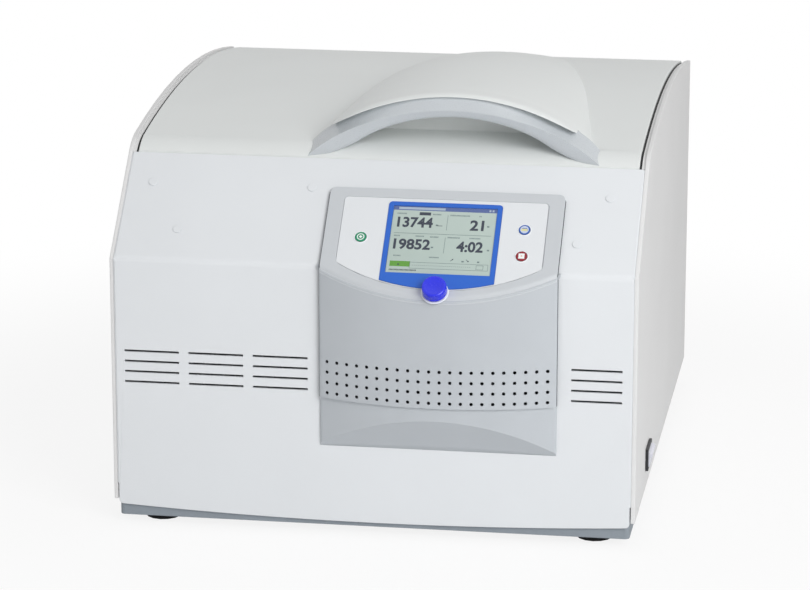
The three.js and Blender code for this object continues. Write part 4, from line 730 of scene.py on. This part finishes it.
def cover_point(x, back, zone, share):
    """A place on the lower cover: a bulging face over a set-in facet and a scooped underside."""
    front = bulge(min(abs(x), CONSOLE_HALF)) - COVER_PROUD + back
    inner = min(front + CREASE_STEP, -PANEL_GAP)
    brow = SCOOP_FOOT - inner / SCOOP_PITCH
    lip = HOLE_LOW - LIP_RISE
    if zone == "scoop":
        y = -PANEL_GAP + (inner + PANEL_GAP) * share
        return Vector((x, y, SCOOP_FOOT - y / SCOOP_PITCH))
    if zone == "facet":
        return Vector((x, inner, brow + (lip - brow) * share))
    if zone == "lip":
        return Vector((x, inner + (front - inner) * min(share * 1.6, 1.0), lip + LIP_RISE * share ** 2))
    if zone == "holes":
        return Vector((x, front, HOLE_LOW + (HOLE_TOP - HOLE_LOW) * share))
    top = BEND_HEIGHT + front * math.tan(SLOPE) - FRAME_DEPTH / math.cos(SLOPE) + COVER_LAP
    if zone == "face":
        return Vector((x, front, HOLE_TOP + (top - HOLE_TOP) * share))
    turn = math.pi / 2 * share
    return Vector((x, front + CREST_RADIUS * (1 - math.cos(turn)),
                   top + CREST_RADIUS * 0.8 * math.sin(turn)))


def lower_cover():
    """The darker cover under the keypad, with its rows of round holes."""
    columns, rows = cover_columns(), cover_rows()
    across, up = len(columns) - 1, len(rows) - 1
    bm = bmesh.new()
    bmesh.ops.create_grid(bm, x_segments=across, y_segments=up, size=0.5)
    first_column, first_row = len(COVER_EDGE), rows.index(("holes", 0.0))
    cells = {}
    for face in bm.faces:
        middle = face.calc_center_median()
        column = int((middle.x + 0.5) * across) - first_column
        row = int((middle.y + 0.5) * up) - first_row
        if 0 <= column < 3 * HOLE_COLUMNS and 0 <= row < 3 * HOLE_ROWS:
            cells.setdefault((column // 3, row // 3), []).append(face)
    for vert in bm.verts:
        x, back = columns[round((vert.co.x + 0.5) * across)]
        vert.co = cover_point(x, back, *rows[round((vert.co.y + 0.5) * up)])
    holes = [bmesh.ops.dissolve_faces(bm, faces=faces)["region"][0] for faces in cells.values()]
    for radius, sink in HOLE_RINGS:
        bmesh.ops.inset_individual(bm, faces=holes, thickness=0.4)
        for hole in holes:
            middle = sum((vert.co for vert in hole.verts), Vector()) / len(hole.verts)
            for vert in hole.verts:
                way = math.atan2(vert.co.z - middle.z, vert.co.x - middle.x)
                x = middle.x + radius * math.cos(way)
                vert.co = (x, bulge(x) - COVER_PROUD + sink, middle.z + radius * math.sin(way))
    bmesh.ops.delete(bm, geom=holes, context="FACES")
    bmesh.ops.scale(bm, vec=(MM, MM, MM), verts=bm.verts)
    closed(bm, CONSOLE_PLACE)
    # The sheet is open, so its faces are turned by hand to look forwards
    if sum(face.normal.y * face.calc_area() for face in bm.faces) > 0:
        bmesh.ops.reverse_faces(bm, faces=bm.faces)
    piece = to_piece(bm, "console_lower_cover")
    wall = piece.modifiers.new("wall", "SOLIDIFY")
    wall.thickness = COVER_WALL * MM
    wall.offset = -1
    shade(piece, 28)
    settle(piece, "housing", "console_plastic", ["console_cover"])


def frame_brow(edge):
    """The upper front edge of the console frame, over the lower cover."""
    place = spot(edge, CONSOLE_PLACE)
    if abs(place.x) > CONSOLE_HALF - CORNER_ZONE or abs(place.y - bulge(place.x)) > BROW_DEPTH:
        return False
    return place.z > BEND_HEIGHT + place.y * math.tan(SLOPE) + BROW_RISE


def console_frame():
    """The frame; its back edge is lifted clear of the lower cover, which laps over its front."""
    frame_corners = corners_at(CONSOLE_HALF, CONSOLE_TOP)
    film_corners = corners_at(FILM_HALF, FILM_TOP, FILM_CORNER, reach=3.5)
    piece = dressed("console_frame", 0.9, 4, rounds=((frame_brow, 2.6, 5), (frame_corners, 7.0, 8),
                                                     (film_corners, 4.6, 6)))
    outwards = SLOPE_PLACE.to_3x3() @ Vector((0, 0, FRAME_LIFT * MM))
    for vert in piece.data.vertices:
        if (SLOPE_PLACE.inverted() @ vert.co).z < FRAME_BACK * MM:
            vert.co += outwards


# The film and the bezel: half width, top, the height of a lower corner, and the sag between them
FILM_HALF, FILM_TOP, FILM_CORNER, FILM_SAG = 106.2, 84.3, 3.8, 29.8
BEZEL_HALF, BEZEL_TOP, BEZEL_CORNER, BEZEL_SAG = 59.2, 80.2, -16, 9
FILM_LOW, FILM_FACE = 3.2, 4.0
CUT_LOW, CUT_HIGH = 2, 6
KEY_PLACES = {"start_key": (-84.1, 34.8), "lid_key": (84.1, 50.9), "stop_key": (84.1, 18.7)}
KEY_RADIUS = 5.8
KEY_TOP = 4.9
KNOB_UP = -28.2
KNOB_SHAFT = 3.0


def smiling_outline(half, top, corner, sag, upper_radius, lower_radius):
    """A panel outline in (x, s): straight sides, a hanging lower edge and rounded corners."""
    lower = [(x, corner - z) for x, z in arc_line(half, sag, [i / 24 - 1 for i in range(49)])]
    slope_in = math.atan2(lower[0][1] - lower[1][1], lower[1][0] - lower[0][0])
    swing = math.pi / 2 - slope_in
    middle = corner + lower_radius * math.tan(swing / 2)
    right = []
    for i in range(7):
        turn = -swing * (1 - i / 6)
        right.append((half + lower_radius * (math.cos(turn) - 1), middle + lower_radius * math.sin(turn)))
    for i in range(7):
        turn = math.pi / 2 * i / 6
        right.append((half + upper_radius * (math.cos(turn) - 1), top + upper_radius * (math.sin(turn) - 1)))
    points = [(x, s) for x, s in lower if abs(x) < half - lower_radius]
    return points + right + [(-x, s) for x, s in reversed(right)]


def keypad_film():
    """The pale printed film, cut out for the bezel, the knob and the keys."""
    bezel_gap, round_gap = 0.3, 0.4
    opening = smiling_outline(BEZEL_HALF + bezel_gap, BEZEL_TOP + bezel_gap, BEZEL_CORNER - bezel_gap,
                              BEZEL_SAG, upper_radius=4.1, lower_radius=0.5)
    cuts = [opening] + [disc(KEY_RADIUS + round_gap, 48, x, s) for x, s in KEY_PLACES.values()]
    cuts.append(disc(KNOB_SHAFT + round_gap, 32, 0, KNOB_UP))
    outline = smiling_outline(FILM_HALF, FILM_TOP, FILM_CORNER, FILM_SAG, upper_radius=4.3,
                              lower_radius=4.0)
    bm = combined(plate(outline, FILM_LOW, FILM_FACE),
                  [plate(cut, CUT_LOW, CUT_HIGH) for cut in cuts], "DIFFERENCE")
    settle(to_piece(closed(bm, SLOPE_PLACE), "keypad_film", 45), "housing", "overlay_film",
           ["keypad_overlay"])


def console_side_shades():
    """Thin dark strips along both sides of the console: painted shade where its side walls lie in shadow."""
    wide, inset = 0.45, 0.3
    upright, leaning = bmesh.new(), bmesh.new()
    for side in (1, -1):
        first, last = sorted((side * CONSOLE_HALF, side * (CONSOLE_HALF + wide)))
        prism(leaning, box(first, -3, last, 89.6), -0.5, FRAME_DEPTH)
        first, last = sorted((side * (CONSOLE_HALF + inset), side * (CONSOLE_HALF + inset + wide)))
        prism(upright, box(first, -3.4, last, 0.3), HOLE_LOW, BEND_HEIGHT - 1)
    for name, bm, place in (("gasket_upper", leaning, SLOPE_PLACE), ("gasket_lower", upright, CONSOLE_PLACE)):
        settle(to_piece(closed(bm, place), name), "housing", "console_plastic", kind="gasket_rubber")


# Display. What it shows is placed by shares of its width and, downwards, of its height.

SCREEN_HALF = 53.7
SCREEN_TOP, SCREEN_LOW = 75.1, -6.3
GLASS_FACE = 3.6
# How far the art stands over the glass: a line, what lies on a line, and print
LINE, OVER_LINE, PRINT = 0.05, 0.09, 0.06
FIGURES = (("13744", 0.05, 0.16, 0.395, 0.318), ("21", 0.755, 0.175, 0.89, 0.333),
           ("19852", 0.04, 0.49, 0.395, 0.65), ("4:02", 0.65, 0.50, 0.905, 0.66))
# Small print, drawn as a row of ticks: where it starts and ends across, and its height
SMALL_PRINT = ((0.04, 0.14, 0.10), (0.385, 0.475, 0.10), (0.555, 0.75, 0.105), (0.835, 0.86, 0.105),
               (0.035, 0.095, 0.435), (0.245, 0.335, 0.435), (0.385, 0.48, 0.44), (0.555, 0.685, 0.44),
               (0.765, 0.875, 0.44), (0.055, 0.135, 0.735), (0.40, 0.505, 0.745))
TICK_STEP, TICK_WIDTH, TICK_HEIGHT = 0.012, 0.62, 0.02
UNIT_DOTS = ((0.425, 0.26), (0.92, 0.255), (0.405, 0.595), (0.945, 0.61), (0.715, 0.79), (0.865, 0.79))
UNIT_DOT = 0.022
RULES = ((0.03, 0.402, 0.97, 0.408), (0.53, 0.11, 0.534, 0.345), (0.53, 0.45, 0.534, 0.69))


def on_screen(u, v):
    """A place on the display in (x, s)."""
    return SCREEN_HALF * (2 * u - 1), SCREEN_TOP + (SCREEN_LOW - SCREEN_TOP) * v


def bar(bm, u0, v0, u1, v1, lift=LINE):
    prism(bm, box(*on_screen(u0, v1), *on_screen(u1, v0)), GLASS_FACE, GLASS_FACE + lift)


def framed(bm, u0, v0, u1, v1):
    """The thin outline of a box on the display."""
    wide, tall = 0.004, 0.0052
    bar(bm, u0, v0, u1, v0 + tall)
    bar(bm, u0, v1 - tall, u1, v1)
    bar(bm, u0, v0 + tall, u0 + wide, v1 - tall)
    bar(bm, u1 - wide, v0 + tall, u1, v1 - tall)


def figures(bm, text, u0, v0, u1, v1):
    """Plain bold figures that fill the given part of the display."""
    curve = bpy.data.curves.new("figures", "FONT")
    curve.body = text
    curve.size = 1.0
    curve.offset = 0.032
    curve.extrude = 0.02
    curve.resolution_u = 4
    thing = bpy.data.objects.new("figures", curve)
    bpy.context.scene.collection.objects.link(thing)
    graph = bpy.context.evaluated_depsgraph_get()
    mesh = bpy.data.meshes.new_from_object(thing.evaluated_get(graph))
    bpy.data.objects.remove(thing)
    bpy.data.curves.remove(curve)
    flat = [vert.co for vert in mesh.vertices]
    low = Vector((min(co.x for co in flat), min(co.y for co in flat)))
    high = Vector((max(co.x for co in flat), max(co.y for co in flat)))
    (x0, s0), (x1, s1) = on_screen(u0, v1), on_screen(u1, v0)
    for vert in mesh.vertices:
        across = (vert.co.x - low.x) / (high.x - low.x)
        up = (vert.co.y - low.y) / (high.y - low.y)
        lift = GLASS_FACE + (PRINT if vert.co.z > 0 else 0.0)
        vert.co = ((x0 + (x1 - x0) * across) * MM, (s0 + (s1 - s0) * up) * MM, lift * MM)
    bm.from_mesh(mesh)
    bpy.data.meshes.remove(mesh)


def arrow(bm, u, v, way):
    """A small arrow that points up (1) or down (-1) to the right."""
    x, s = on_screen(u, v)
    shaft = [(-1.5, -1.1), (-1.1, -1.5), (1.0, 0.6), (0.6, 1.0)]
    head = [(1.6, 1.6), (-0.2, 1.3), (1.3, -0.2)]
    for outline in (shaft, head):
        prism(bm, [(x + a, s + way * b) for a, b in outline], GLASS_FACE, GLASS_FACE + LINE)


def small_print(bm):
    for u0, u1, v in SMALL_PRINT:
        for k in range(int((u1 - u0) / TICK_STEP)):
            bar(bm, u0 + k * TICK_STEP, v, u0 + (k + TICK_WIDTH) * TICK_STEP, v + TICK_HEIGHT)
    for u, v in UNIT_DOTS:
        bar(bm, u, v, u + UNIT_DOT, v + UNIT_DOT)


def progress_bar(grey, green, ink):
    """The foot of the display: a progress bar in its box, and a row of ticks under it."""
    framed(grey, 0.22, 0.835, 0.975, 0.93)
    for k in range(30):
        bar(grey, 0.245 + 0.019 * k, 0.878, 0.255 + 0.019 * k, 0.884)
    framed(grey, 0.86, 0.85, 0.93, 0.915)
    bar(green, 0.03, 0.825, 0.225, 0.905)
    bar(ink, 0.105, 0.865, 0.12, 0.885, OVER_LINE)
    for k in range(22):
        bar(ink, 0.03 + 0.012 * k, 0.945, 0.037 + 0.012 * k, 0.968)


def display_art():
    """What the display shows: large figures, rules, plain bars for small print, and a progress bar."""
    ink, grey, band, tint, green = (bmesh.new() for _ in range(5))
    bar(band, 0.0, 0.0, 1.0, 0.058)
    bar(tint, 0.05, 0.012, 0.50, 0.046, OVER_LINE)
    for u in (0.925, 0.955):
        bar(tint, u, 0.014, u + 0.018, 0.044, OVER_LINE)
    for text_and_place in FIGURES:
        figures(ink, *text_and_place)
    bar(ink, 0.255, 0.082, 0.365, 0.128)
    bar(ink, 0.435, 0.275, 0.49, 0.283)
    small_print(grey)
    for rule in RULES:
        bar(grey, *rule)
    arrow(ink, 0.62, 0.785, 1)
    arrow(ink, 0.77, 0.785, -1)
    progress_bar(grey, green, ink)
    for name, bm, kind in (("display_figures", ink, "lcd_ink"), ("display_rules", grey, "lcd_grey"),
                           ("display_band", band, "lcd_band"), ("display_tint", tint, "lcd_tint"),
                           ("display_green", green, "lcd_green")):
        settle(to_piece(closed(bm, SLOPE_PLACE), name), "housing", "display_glass", kind=kind)


# Keys and knob

DIAMOND = [(0, -1.9), (1.9, 0), (0, 1.9), (-1.9, 0)]
LID_SIGN = [(-3.1, -0.9), (3.3, -0.9), (3.3, 0.9), (2.2, 1.9), (-2.0, 1.9), (-3.1, 0.9)]
# The print on the keys: its key, its ink, how far it lies over the key, its rings as inner and outer
# radius, and its outlines round the key's middle
KEY_PRINTS = {
    "start_key_print": ("start_key", "#F2F5F4", 0, [(2.9, 3.9)], [DIAMOND]),
    "lid_key_light": ("lid_key", "#C9D3E6", 0, [], [disc(4.4)]),
    "lid_key_dark": ("lid_key", "#4A62B4", 0.07, [], [LID_SIGN]),
    "lid_key_bar": ("lid_key", "#DDD9A0", 0.14, [], [box(-3.2, -1.7, 3.1, 1.0)]),
    "stop_key_print": ("stop_key", "#F2F5F4", 0, [], [box(-3.1, -3.1, 3.1, 3.1)]),
    "stop_key_centre": ("stop_key", "#E9B9A6", 0.07, [], [disc(0.9, 16)]),
}
KEY_RIM = [(6.3, 4.0), (6.3, 4.35), (7.0, 4.45), (7.3, 4.0), (6.3, 4.0)]
# A dished top with a soft edge, a waist near the foot, and the shaft
KNOB = [(0, 15.7), (7.4, 15.75), (9.6, 16.1), (10.7, 16.3), (11.7, 16.0), (12.3, 15.4), (12.65, 14.5),
        (12.75, 13.3), (12.75, 9.6), (12.6, 8.6), (12.2, 8.0), (12.7, 7.4), (12.8, 6.3), (12.6, 5.7),
        (KNOB_SHAFT, 5.7), (KNOB_SHAFT, -12), (0, -12)]
KNOB_COLLAR = [(12.0, 4.0), (12.0, 4.3), (13.3, 4.6), (14.0, 4.4), (14.3, 4.0), (12.0, 4.0)]


def turned_piece(name, profile, steps, crease, x, s):
    """A piece turned round an axis that stands square on the slope at (x, s)."""
    bm = bmesh.new()
    spun(bm, profile, steps, x, s)
    return to_piece(closed(bm, SLOPE_PLACE), name, crease)


def key_print(name):
    node, ink, level, rings, outlines = KEY_PRINTS[name]
    x, s = KEY_PLACES[node]
    low = KEY_TOP + level
    bm = bmesh.new()
    for inner, outer in rings:
        high = low + PRINT
        spun(bm, [(inner, low), (inner, high), (outer, high), (outer, low), (inner, low)], 48, x, s)
    for outline in outlines:
        prism(bm, [(x + a, s + b) for a, b in outline], low, low + PRINT)
    piece = to_piece(closed(bm, SLOPE_PLACE), name)
    settle(piece, frame["nodes"][node]["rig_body"], SLOT_OF[node], kind=ink)


def keys():
    """The three domed keys with their printed signs, and a rim round each that is painted lighter than the
    film as a highlight.
    """
    for node, (x, s) in KEY_PLACES.items():
        dressed(node, 0.25)
        rim = turned_piece(node + "_rim", KEY_RIM, 48, 45, x, s)
        settle(rim, "housing", "overlay_film", kind="polyester_rim")
    for name in KEY_PRINTS:
        key_print(name)


def control_knob():
    """The blue knob with its shaft, and the white collar round its foot."""
    knob = turned_piece("control_knob_skin", KNOB, 96, 50, 0, KNOB_UP)
    settle(knob, "knob", "knob_plastic", ["control_knob"])
    collar = turned_piece("knob_collar", KNOB_COLLAR, 96, 50, 0, KNOB_UP)
    settle(collar, "housing", "overlay_film", kind="moulded_collar")


class CENTRIFUGE_OT_console(PieceOperator, bpy.types.Operator):
    """Makes the console: frame, lower cover, keypad film, display, keys and knob"""
    bl_idname = "centrifuge.console"
    bl_label = "Console"

    def make(self, scene):
        console_frame()
        console_side_shades()
        keypad_film()
        dressed("display_bezel", 0.2, rounds=((corners_at(BEZEL_HALF, BEZEL_TOP), 3.8, 5),))
        dressed("display_module", 0)
        lower_cover()
        display_art()
        keys()
        control_knob()


# Lid. Seen from the side it is a tight front corner that runs into a wide crown.

CORNER_RADIUS = 54
CROWN_RADIUS = 1449
CROWN_START = math.radians(9.4)
CORNER_Y = SLOPE_RUN + CORNER_RADIUS * math.sin(SLOPE)
CORNER_Z = BEND_HEIGHT + SLOPE_RISE - CORNER_RADIUS * math.cos(SLOPE)
CROWN_Y = CORNER_Y + (CROWN_RADIUS - CORNER_RADIUS) * math.sin(CROWN_START)
CROWN_Z = CORNER_Z - (CROWN_RADIUS - CORNER_RADIUS) * math.cos(CROWN_START)
HOOD_HALF = 264.8
HOOD_FRONT, HOOD_REAR = 99.1, 628
HOOD_LOW = 365
HOOD_SKIN = 3
HOOD_EDGE = 1.5
# How far a hollow or a cutting solid runs past what it cuts
CUT_MARGIN = 20
BLISTER_FRONT, BLISTER_REAR = 124.3, 624
BLISTER_HALF, BLISTER_RISE = 144.5, 57
# Nothing of the blister is higher than this above the floor
BLISTER_TOP = 453.35
# Widths and rises of the blister, as shares, at stations along its length
BLISTER_STATIONS = (0, 0.1, 0.2, 0.36, 0.52, 0.68, 0.84, 1)
BLISTER_WIDTHS = (1, 0.94, 0.89, 0.81, 0.71, 0.59, 0.46, 0.25)
BLISTER_RISES = (1.04, 0.925, 0.78, 0.585, 0.415, 0.275, 0.135, 0.02)
# The blister's section starts this far under the crown; a lower power makes its shoulders fuller
BLISTER_ROOT, BLISTER_POWER = 2, 0.64
# Beyond its foot the blister runs on just under the crown, and it sinks this far into the hood
BLISTER_FOOT, BLISTER_BLEND, BLISTER_SINK = -0.9, 8, 12
# The blister's grid: cells each way, how far it runs past the edges, and closer rows at the front
BLISTER_CELLS, BLISTER_MARGIN, BLISTER_CROWDING = 96, 1.15, 1.6
# The lip of the blister over the grip bends down from its start to its front
LIP_FRONT, LIP_START = 101.2, 109.5
LIP_DROP = 3.2
LIP_HALF = 146
# The gap for the fingers behind the grip: an arch over GAP_BASE, which is the foot of every arc here
GAP_BASE, GAP_REAR = 385, 165
GAP_HALF, GAP_RISE = 133, 40
GAP_MARGIN = 5
GRIP_FRONT = 100.1
# Half widths and rises of the grip's arcs: its upper edge, its crest and its inner edge
GRIP_HALF, GRIP_RISE = 168, 63.8
CREST_HALF, CREST_RISE = 157.0, 49.8
INNER_HALF, INNER_RISE = 122, 41.3
GRIP_ARCS = ((GRIP_HALF, GRIP_RISE), (CREST_HALF, CREST_RISE), (INNER_HALF, INNER_RISE))
GRIP_GAP = 0.3
GRIP_COLUMNS = 120
TIP_DROP = 6.3
# From this share of its half width the grip thins along a quarter ellipse towards its tips. The
# floor keeps them blunt, and their depth is never less than TIP_DEPTH of the whole
TAPER_START, TAPER_FLOOR, TIP_DEPTH = 0.78, 0.03, 0.35
# Between these shares of its half width the grip's face goes from steep to leaning right back
LEAN_START, LEAN_END = 0.15, 0.85
# The grip's section: how far back, and its place from the upper edge, 0, past the crest, 1, to the
# inner edge, 2
GRIP_SECTION = ((1, 0), (0.5, 0), (0.28, 0), (0.22, 0.02), (0.185, 0.08), (0.13, 0.3), (0.07, 0.6),
                (0.03, 0.82), (0.006, 0.92), (0, 1), (0.006, 1.08), (0.03, 1.2), (0.06, 1.4),
                (0.1, 1.62), (0.15, 1.8), (0.22, 1.92), (0.34, 1.985), (0.5, 2), (1, 2), (1, 1), (1, 0))


def crown_height(y):
    if y > CORNER_Y - CORNER_RADIUS * math.sin(CROWN_START):
        return CROWN_Z + math.sqrt(CROWN_RADIUS ** 2 - (CROWN_Y - y) ** 2)
    return CORNER_Z + math.sqrt(CORNER_RADIUS ** 2 - (CORNER_Y - y) ** 2)


def hood_outline(inset, low):
    """The lid from the side in (y, z)."""
    front, rear = HOOD_FRONT + inset, HOOD_REAR - inset
    tight, wide = CORNER_RADIUS - inset, CROWN_RADIUS - inset
    first, last = math.asin((CORNER_Y - front) / tight), math.asin((CROWN_Y - rear) / wide)
    corner = [first + (CROWN_START - first) * i / 14 for i in range(14)]
    crown = [CROWN_START + (last - CROWN_START) * i / 48 for i in range(49)]
    line = [(CORNER_Y - tight * math.sin(a), CORNER_Z + tight * math.cos(a)) for a in corner]
    line += [(CROWN_Y - wide * math.sin(a), CROWN_Z + wide * math.cos(a)) for a in crown]
    return [(front, low), *line, (rear, low)]


def crown_body(inset, low):
    """The plain domed hood, as a solid."""
    return plate(hood_outline(inset, low), inset - HOOD_HALF, HOOD_HALF - inset, ALONG_X)


def hood_body():
    """The plain domed hood with its long top edges rounded."""
    bm = crown_body(0, HOOD_LOW)
    side, foot = (HOOD_HALF - 0.1) * MM, (HOOD_LOW + 1) * MM
    ends = [e for e in bm.edges if all(abs(v.co.x) > side and v.co.z > foot for v in e.verts)]
    rounded(bm, ends, HOOD_EDGE, 4)
    return bm


def between(shares, t):
    """A value read off a row of shares at the blister's stations, along a smooth curve."""
    last = len(BLISTER_STATIONS) - 2
    i = next((k for k in range(last + 1) if t <= BLISTER_STATIONS[k + 1]), last)
    local = (t - BLISTER_STATIONS[i]) / (BLISTER_STATIONS[i + 1] - BLISTER_STATIONS[i])
    before, here = shares[max(i - 1, 0)], shares[i]
    there, after = shares[i + 1], shares[min(i + 2, last + 1)]
    slope_in, slope_out = (there - before) / 2, (after - here) / 2
    squared, cubed = local * local, local ** 3
    return ((2 * cubed - 3 * squared + 1) * here + (cubed - 2 * squared + local) * slope_in
            + (3 * squared - 2 * cubed) * there + (cubed - squared) * slope_out)


def soft_max(a, b, blend):
    reach = max(blend - abs(a - b), 0) / blend
    return max(a, b) + reach * reach * blend / 4


def blister_height(u, y, inset):
    """Height of the blister over a place at share u of its half width; it blends into the crown."""
    back = max(y, BLISTER_FRONT)
    t = share_between(back, BLISTER_FRONT, BLISTER_REAR)
    rise = BLISTER_RISE * between(BLISTER_RISES, t) + BLISTER_ROOT
    round_off = 1 - u * u
    lift = rise * math.copysign(abs(round_off) ** BLISTER_POWER, round_off) - BLISTER_ROOT
    height = min(crown_height(back) + soft_max(lift, BLISTER_FOOT, BLISTER_BLEND), BLISTER_TOP) - inset
    if y < LIP_START:
        height -= LIP_DROP * ((LIP_START - y) / (LIP_START - LIP_FRONT)) ** 2
    return height


def blister_body(inset, front, low):
    """The raised blister, as a solid that reaches down into the hood, to the height low(y)."""
    def place(across, along):
        u = BLISTER_MARGIN * (2 * across - 1)
        y = front + (BLISTER_REAR - inset - front) * along ** BLISTER_CROWDING
        t = share_between(y, BLISTER_FRONT, BLISTER_REAR)
        half = BLISTER_HALF * between(BLISTER_WIDTHS, t) - inset
        return Vector((CONSOLE_OFFSET + half * u, y, blister_height(u, y, inset))) * MM
    bm = mapped_grid(BLISTER_CELLS, BLISTER_CELLS, place)
    copy = bmesh.ops.extrude_face_region(bm, geom=list(bm.faces), use_keep_orig=True)["geom"]
    for item in copy:
        if isinstance(item, bmesh.types.BMVert):
            item.co.z = low(item.co.y / MM) * MM
    return closed(bm)


def arch(half, rise):
    """An arc over the gap behind the grip, in (x, z)."""
    shares = [i / 32 - 1 for i in range(65)]
    return [(CONSOLE_OFFSET + x, GAP_BASE + z) for x, z in arc_line(half, rise, shares)]


def finger_gap(inset):
    """What clears the gap behind the grip."""
    return plate(arch(GAP_HALF + inset, GAP_RISE + inset), BLISTER_FRONT - GAP_MARGIN,
                 GAP_REAR + inset, ALONG_Y)


def grip_room():
    """What clears the grip's own place under the lip, and all beyond the lip's width."""
    left, right = CONSOLE_OFFSET - LIP_HALF, CONSOLE_OFFSET + LIP_HALF
    sky, ground, far = GAP_BASE + 150, GAP_BASE - 40, 60
    line = [(x, z) for x, z in arch(GRIP_HALF + GRIP_GAP, GRIP_RISE + GRIP_GAP) if left < x < right]
    line = [(left - far, ground), (left - far, sky), (left, sky), *line,
            (right, sky), (right + far, sky), (right + far, ground)]
    return plate(line, LIP_FRONT - CUT_MARGIN, BLISTER_FRONT, ALONG_Y)


def lid_hood():
    """The hood: a domed shell whose blister swells out of it and laps over the grip."""
    def root(y):
        return crown_height(max(y, HOOD_FRONT)) - BLISTER_SINK

    raised = combined(blister_body(0, LIP_FRONT, root), [finger_gap(0), grip_room()], "DIFFERENCE")
    outer = combined(hood_body(), [raised], "UNION")
    under = HOOD_LOW - CUT_MARGIN
    hollow_top = combined(blister_body(HOOD_SKIN, BLISTER_FRONT + HOOD_SKIN, lambda y: under),
                          [finger_gap(HOOD_SKIN)], "DIFFERENCE")
    hollow = combined(crown_body(HOOD_SKIN, under), [hollow_top], "UNION")
    bm = combined(outer, [hollow], "DIFFERENCE")
    bmesh.ops.dissolve_degenerate(bm, dist=WELD, edges=bm.edges)
    settle(to_piece(closed(bm, HOUSING_PLACE), "lid_hood_skin", 32), "lid", "lid_plastic", ["lid_hood"])


def grip():
    """The arched grip: a leaning face down to a rounded crest, an undercut, and blunt tips."""
    depth = BLISTER_FRONT - GRIP_GAP - GRIP_FRONT
    steps = len(GRIP_SECTION) - 1

    def place(across, along):
        t = 2 * across - 1
        back, down = GRIP_SECTION[round(along * steps)]
        taper = math.sqrt(max(1 - share_between(abs(t), TAPER_START, 1) ** 2, TAPER_FLOOR))
        outer, crest, inner = (Vector(arc_line(half, rise, [t])[0]) for half, rise in GRIP_ARCS)
        if down < 1:
            level = crest.lerp(outer, (1 - down) * taper)
            lean = max(back, 1 - down)
        else:
            level = crest.lerp(inner, (down - 1) * taper)
            lean = back
        share = share_between(abs(t), LEAN_START, LEAN_END)
        share = share * share * (3 - 2 * share)
        back += (lean - back) * share
        y = GRIP_FRONT + depth * back * (TIP_DEPTH + (1 - TIP_DEPTH) * taper)
        z = GAP_BASE - TIP_DROP * t ** 6 + level.y
        return Vector((CONSOLE_OFFSET + level.x, y, z)) * MM

    bm = mapped_grid(GRIP_COLUMNS, steps, place)
    bmesh.ops.remove_doubles(bm, verts=bm.verts, dist=WELD)
    bmesh.ops.holes_fill(bm, edges=bm.edges, sides=0)
    # What lies inside the hood, with a hair's breadth round it, is cut off
    bm = combined(closed(bm), [crown_body(-0.15, HOOD_LOW - 10)], "DIFFERENCE")
    settle(to_piece(closed(bm, HOUSING_PLACE), "lid_grip", 50), "lid", "grip_plastic", ["lid_handle"])


class CENTRIFUGE_OT_lid(PieceOperator, bpy.types.Operator):
    """Makes the lid hood with its blister, and the grip"""
    bl_idname = "centrifuge.lid"
    bl_label = "Lid"

    def make(self, scene):
        lid_hood()
        grip()


# Inside and rear

class CENTRIFUGE_OT_inside(PieceOperator, bpy.types.Operator):
    """Gives the remaining pieces, inside and behind, their finishes"""
    bl_idname = "centrifuge.inside"
    bl_label = "Inside and rear"

    def make(self, scene):
        for node, solid in frame["nodes"].items():
            if not solid.hide_render:
                dressed(node, 0.3)


PIECES = (
    CENTRIFUGE_OT_stage,
    CENTRIFUGE_OT_housing,
    CENTRIFUGE_OT_console,
    CENTRIFUGE_OT_lid,
    CENTRIFUGE_OT_inside,
)


class CENTRIFUGE_PT_panel(bpy.types.Panel):
    """Lists the centrifuge's pieces and their sizes and colours"""
    bl_idname = "CENTRIFUGE_PT_panel"
    bl_label = "Centrifuge"
    bl_space_type = "VIEW_3D"
    bl_region_type = "UI"
    bl_category = "Centrifuge"

    def draw(self, context):
        for piece in PIECES:
            self.layout.operator(piece.bl_idname)
        for name, group in SETTINGS.items():
            section = self.layout.box()
            for prop in group.__annotations__:
                section.prop(getattr(context.scene, name), prop)


CLASSES = (*SETTINGS.values(), *PIECES, CENTRIFUGE_PT_panel)


def register():
    for item in CLASSES:
        bpy.utils.register_class(item)
    for name, group in SETTINGS.items():
        setattr(bpy.types.Scene, name, bpy.props.PointerProperty(type=group))


def unregister():
    for name in SETTINGS:
        delattr(bpy.types.Scene, name)
    for item in reversed(CLASSES):
        bpy.utils.unregister_class(item)


def main():
    register()
    bpy.ops.centrifuge.stage()
    bpy.ops.centrifuge.housing()
    bpy.ops.centrifuge.console()
    bpy.ops.centrifuge.lid()
    bpy.ops.centrifuge.inside()


if __name__ == "__main__":
    main()
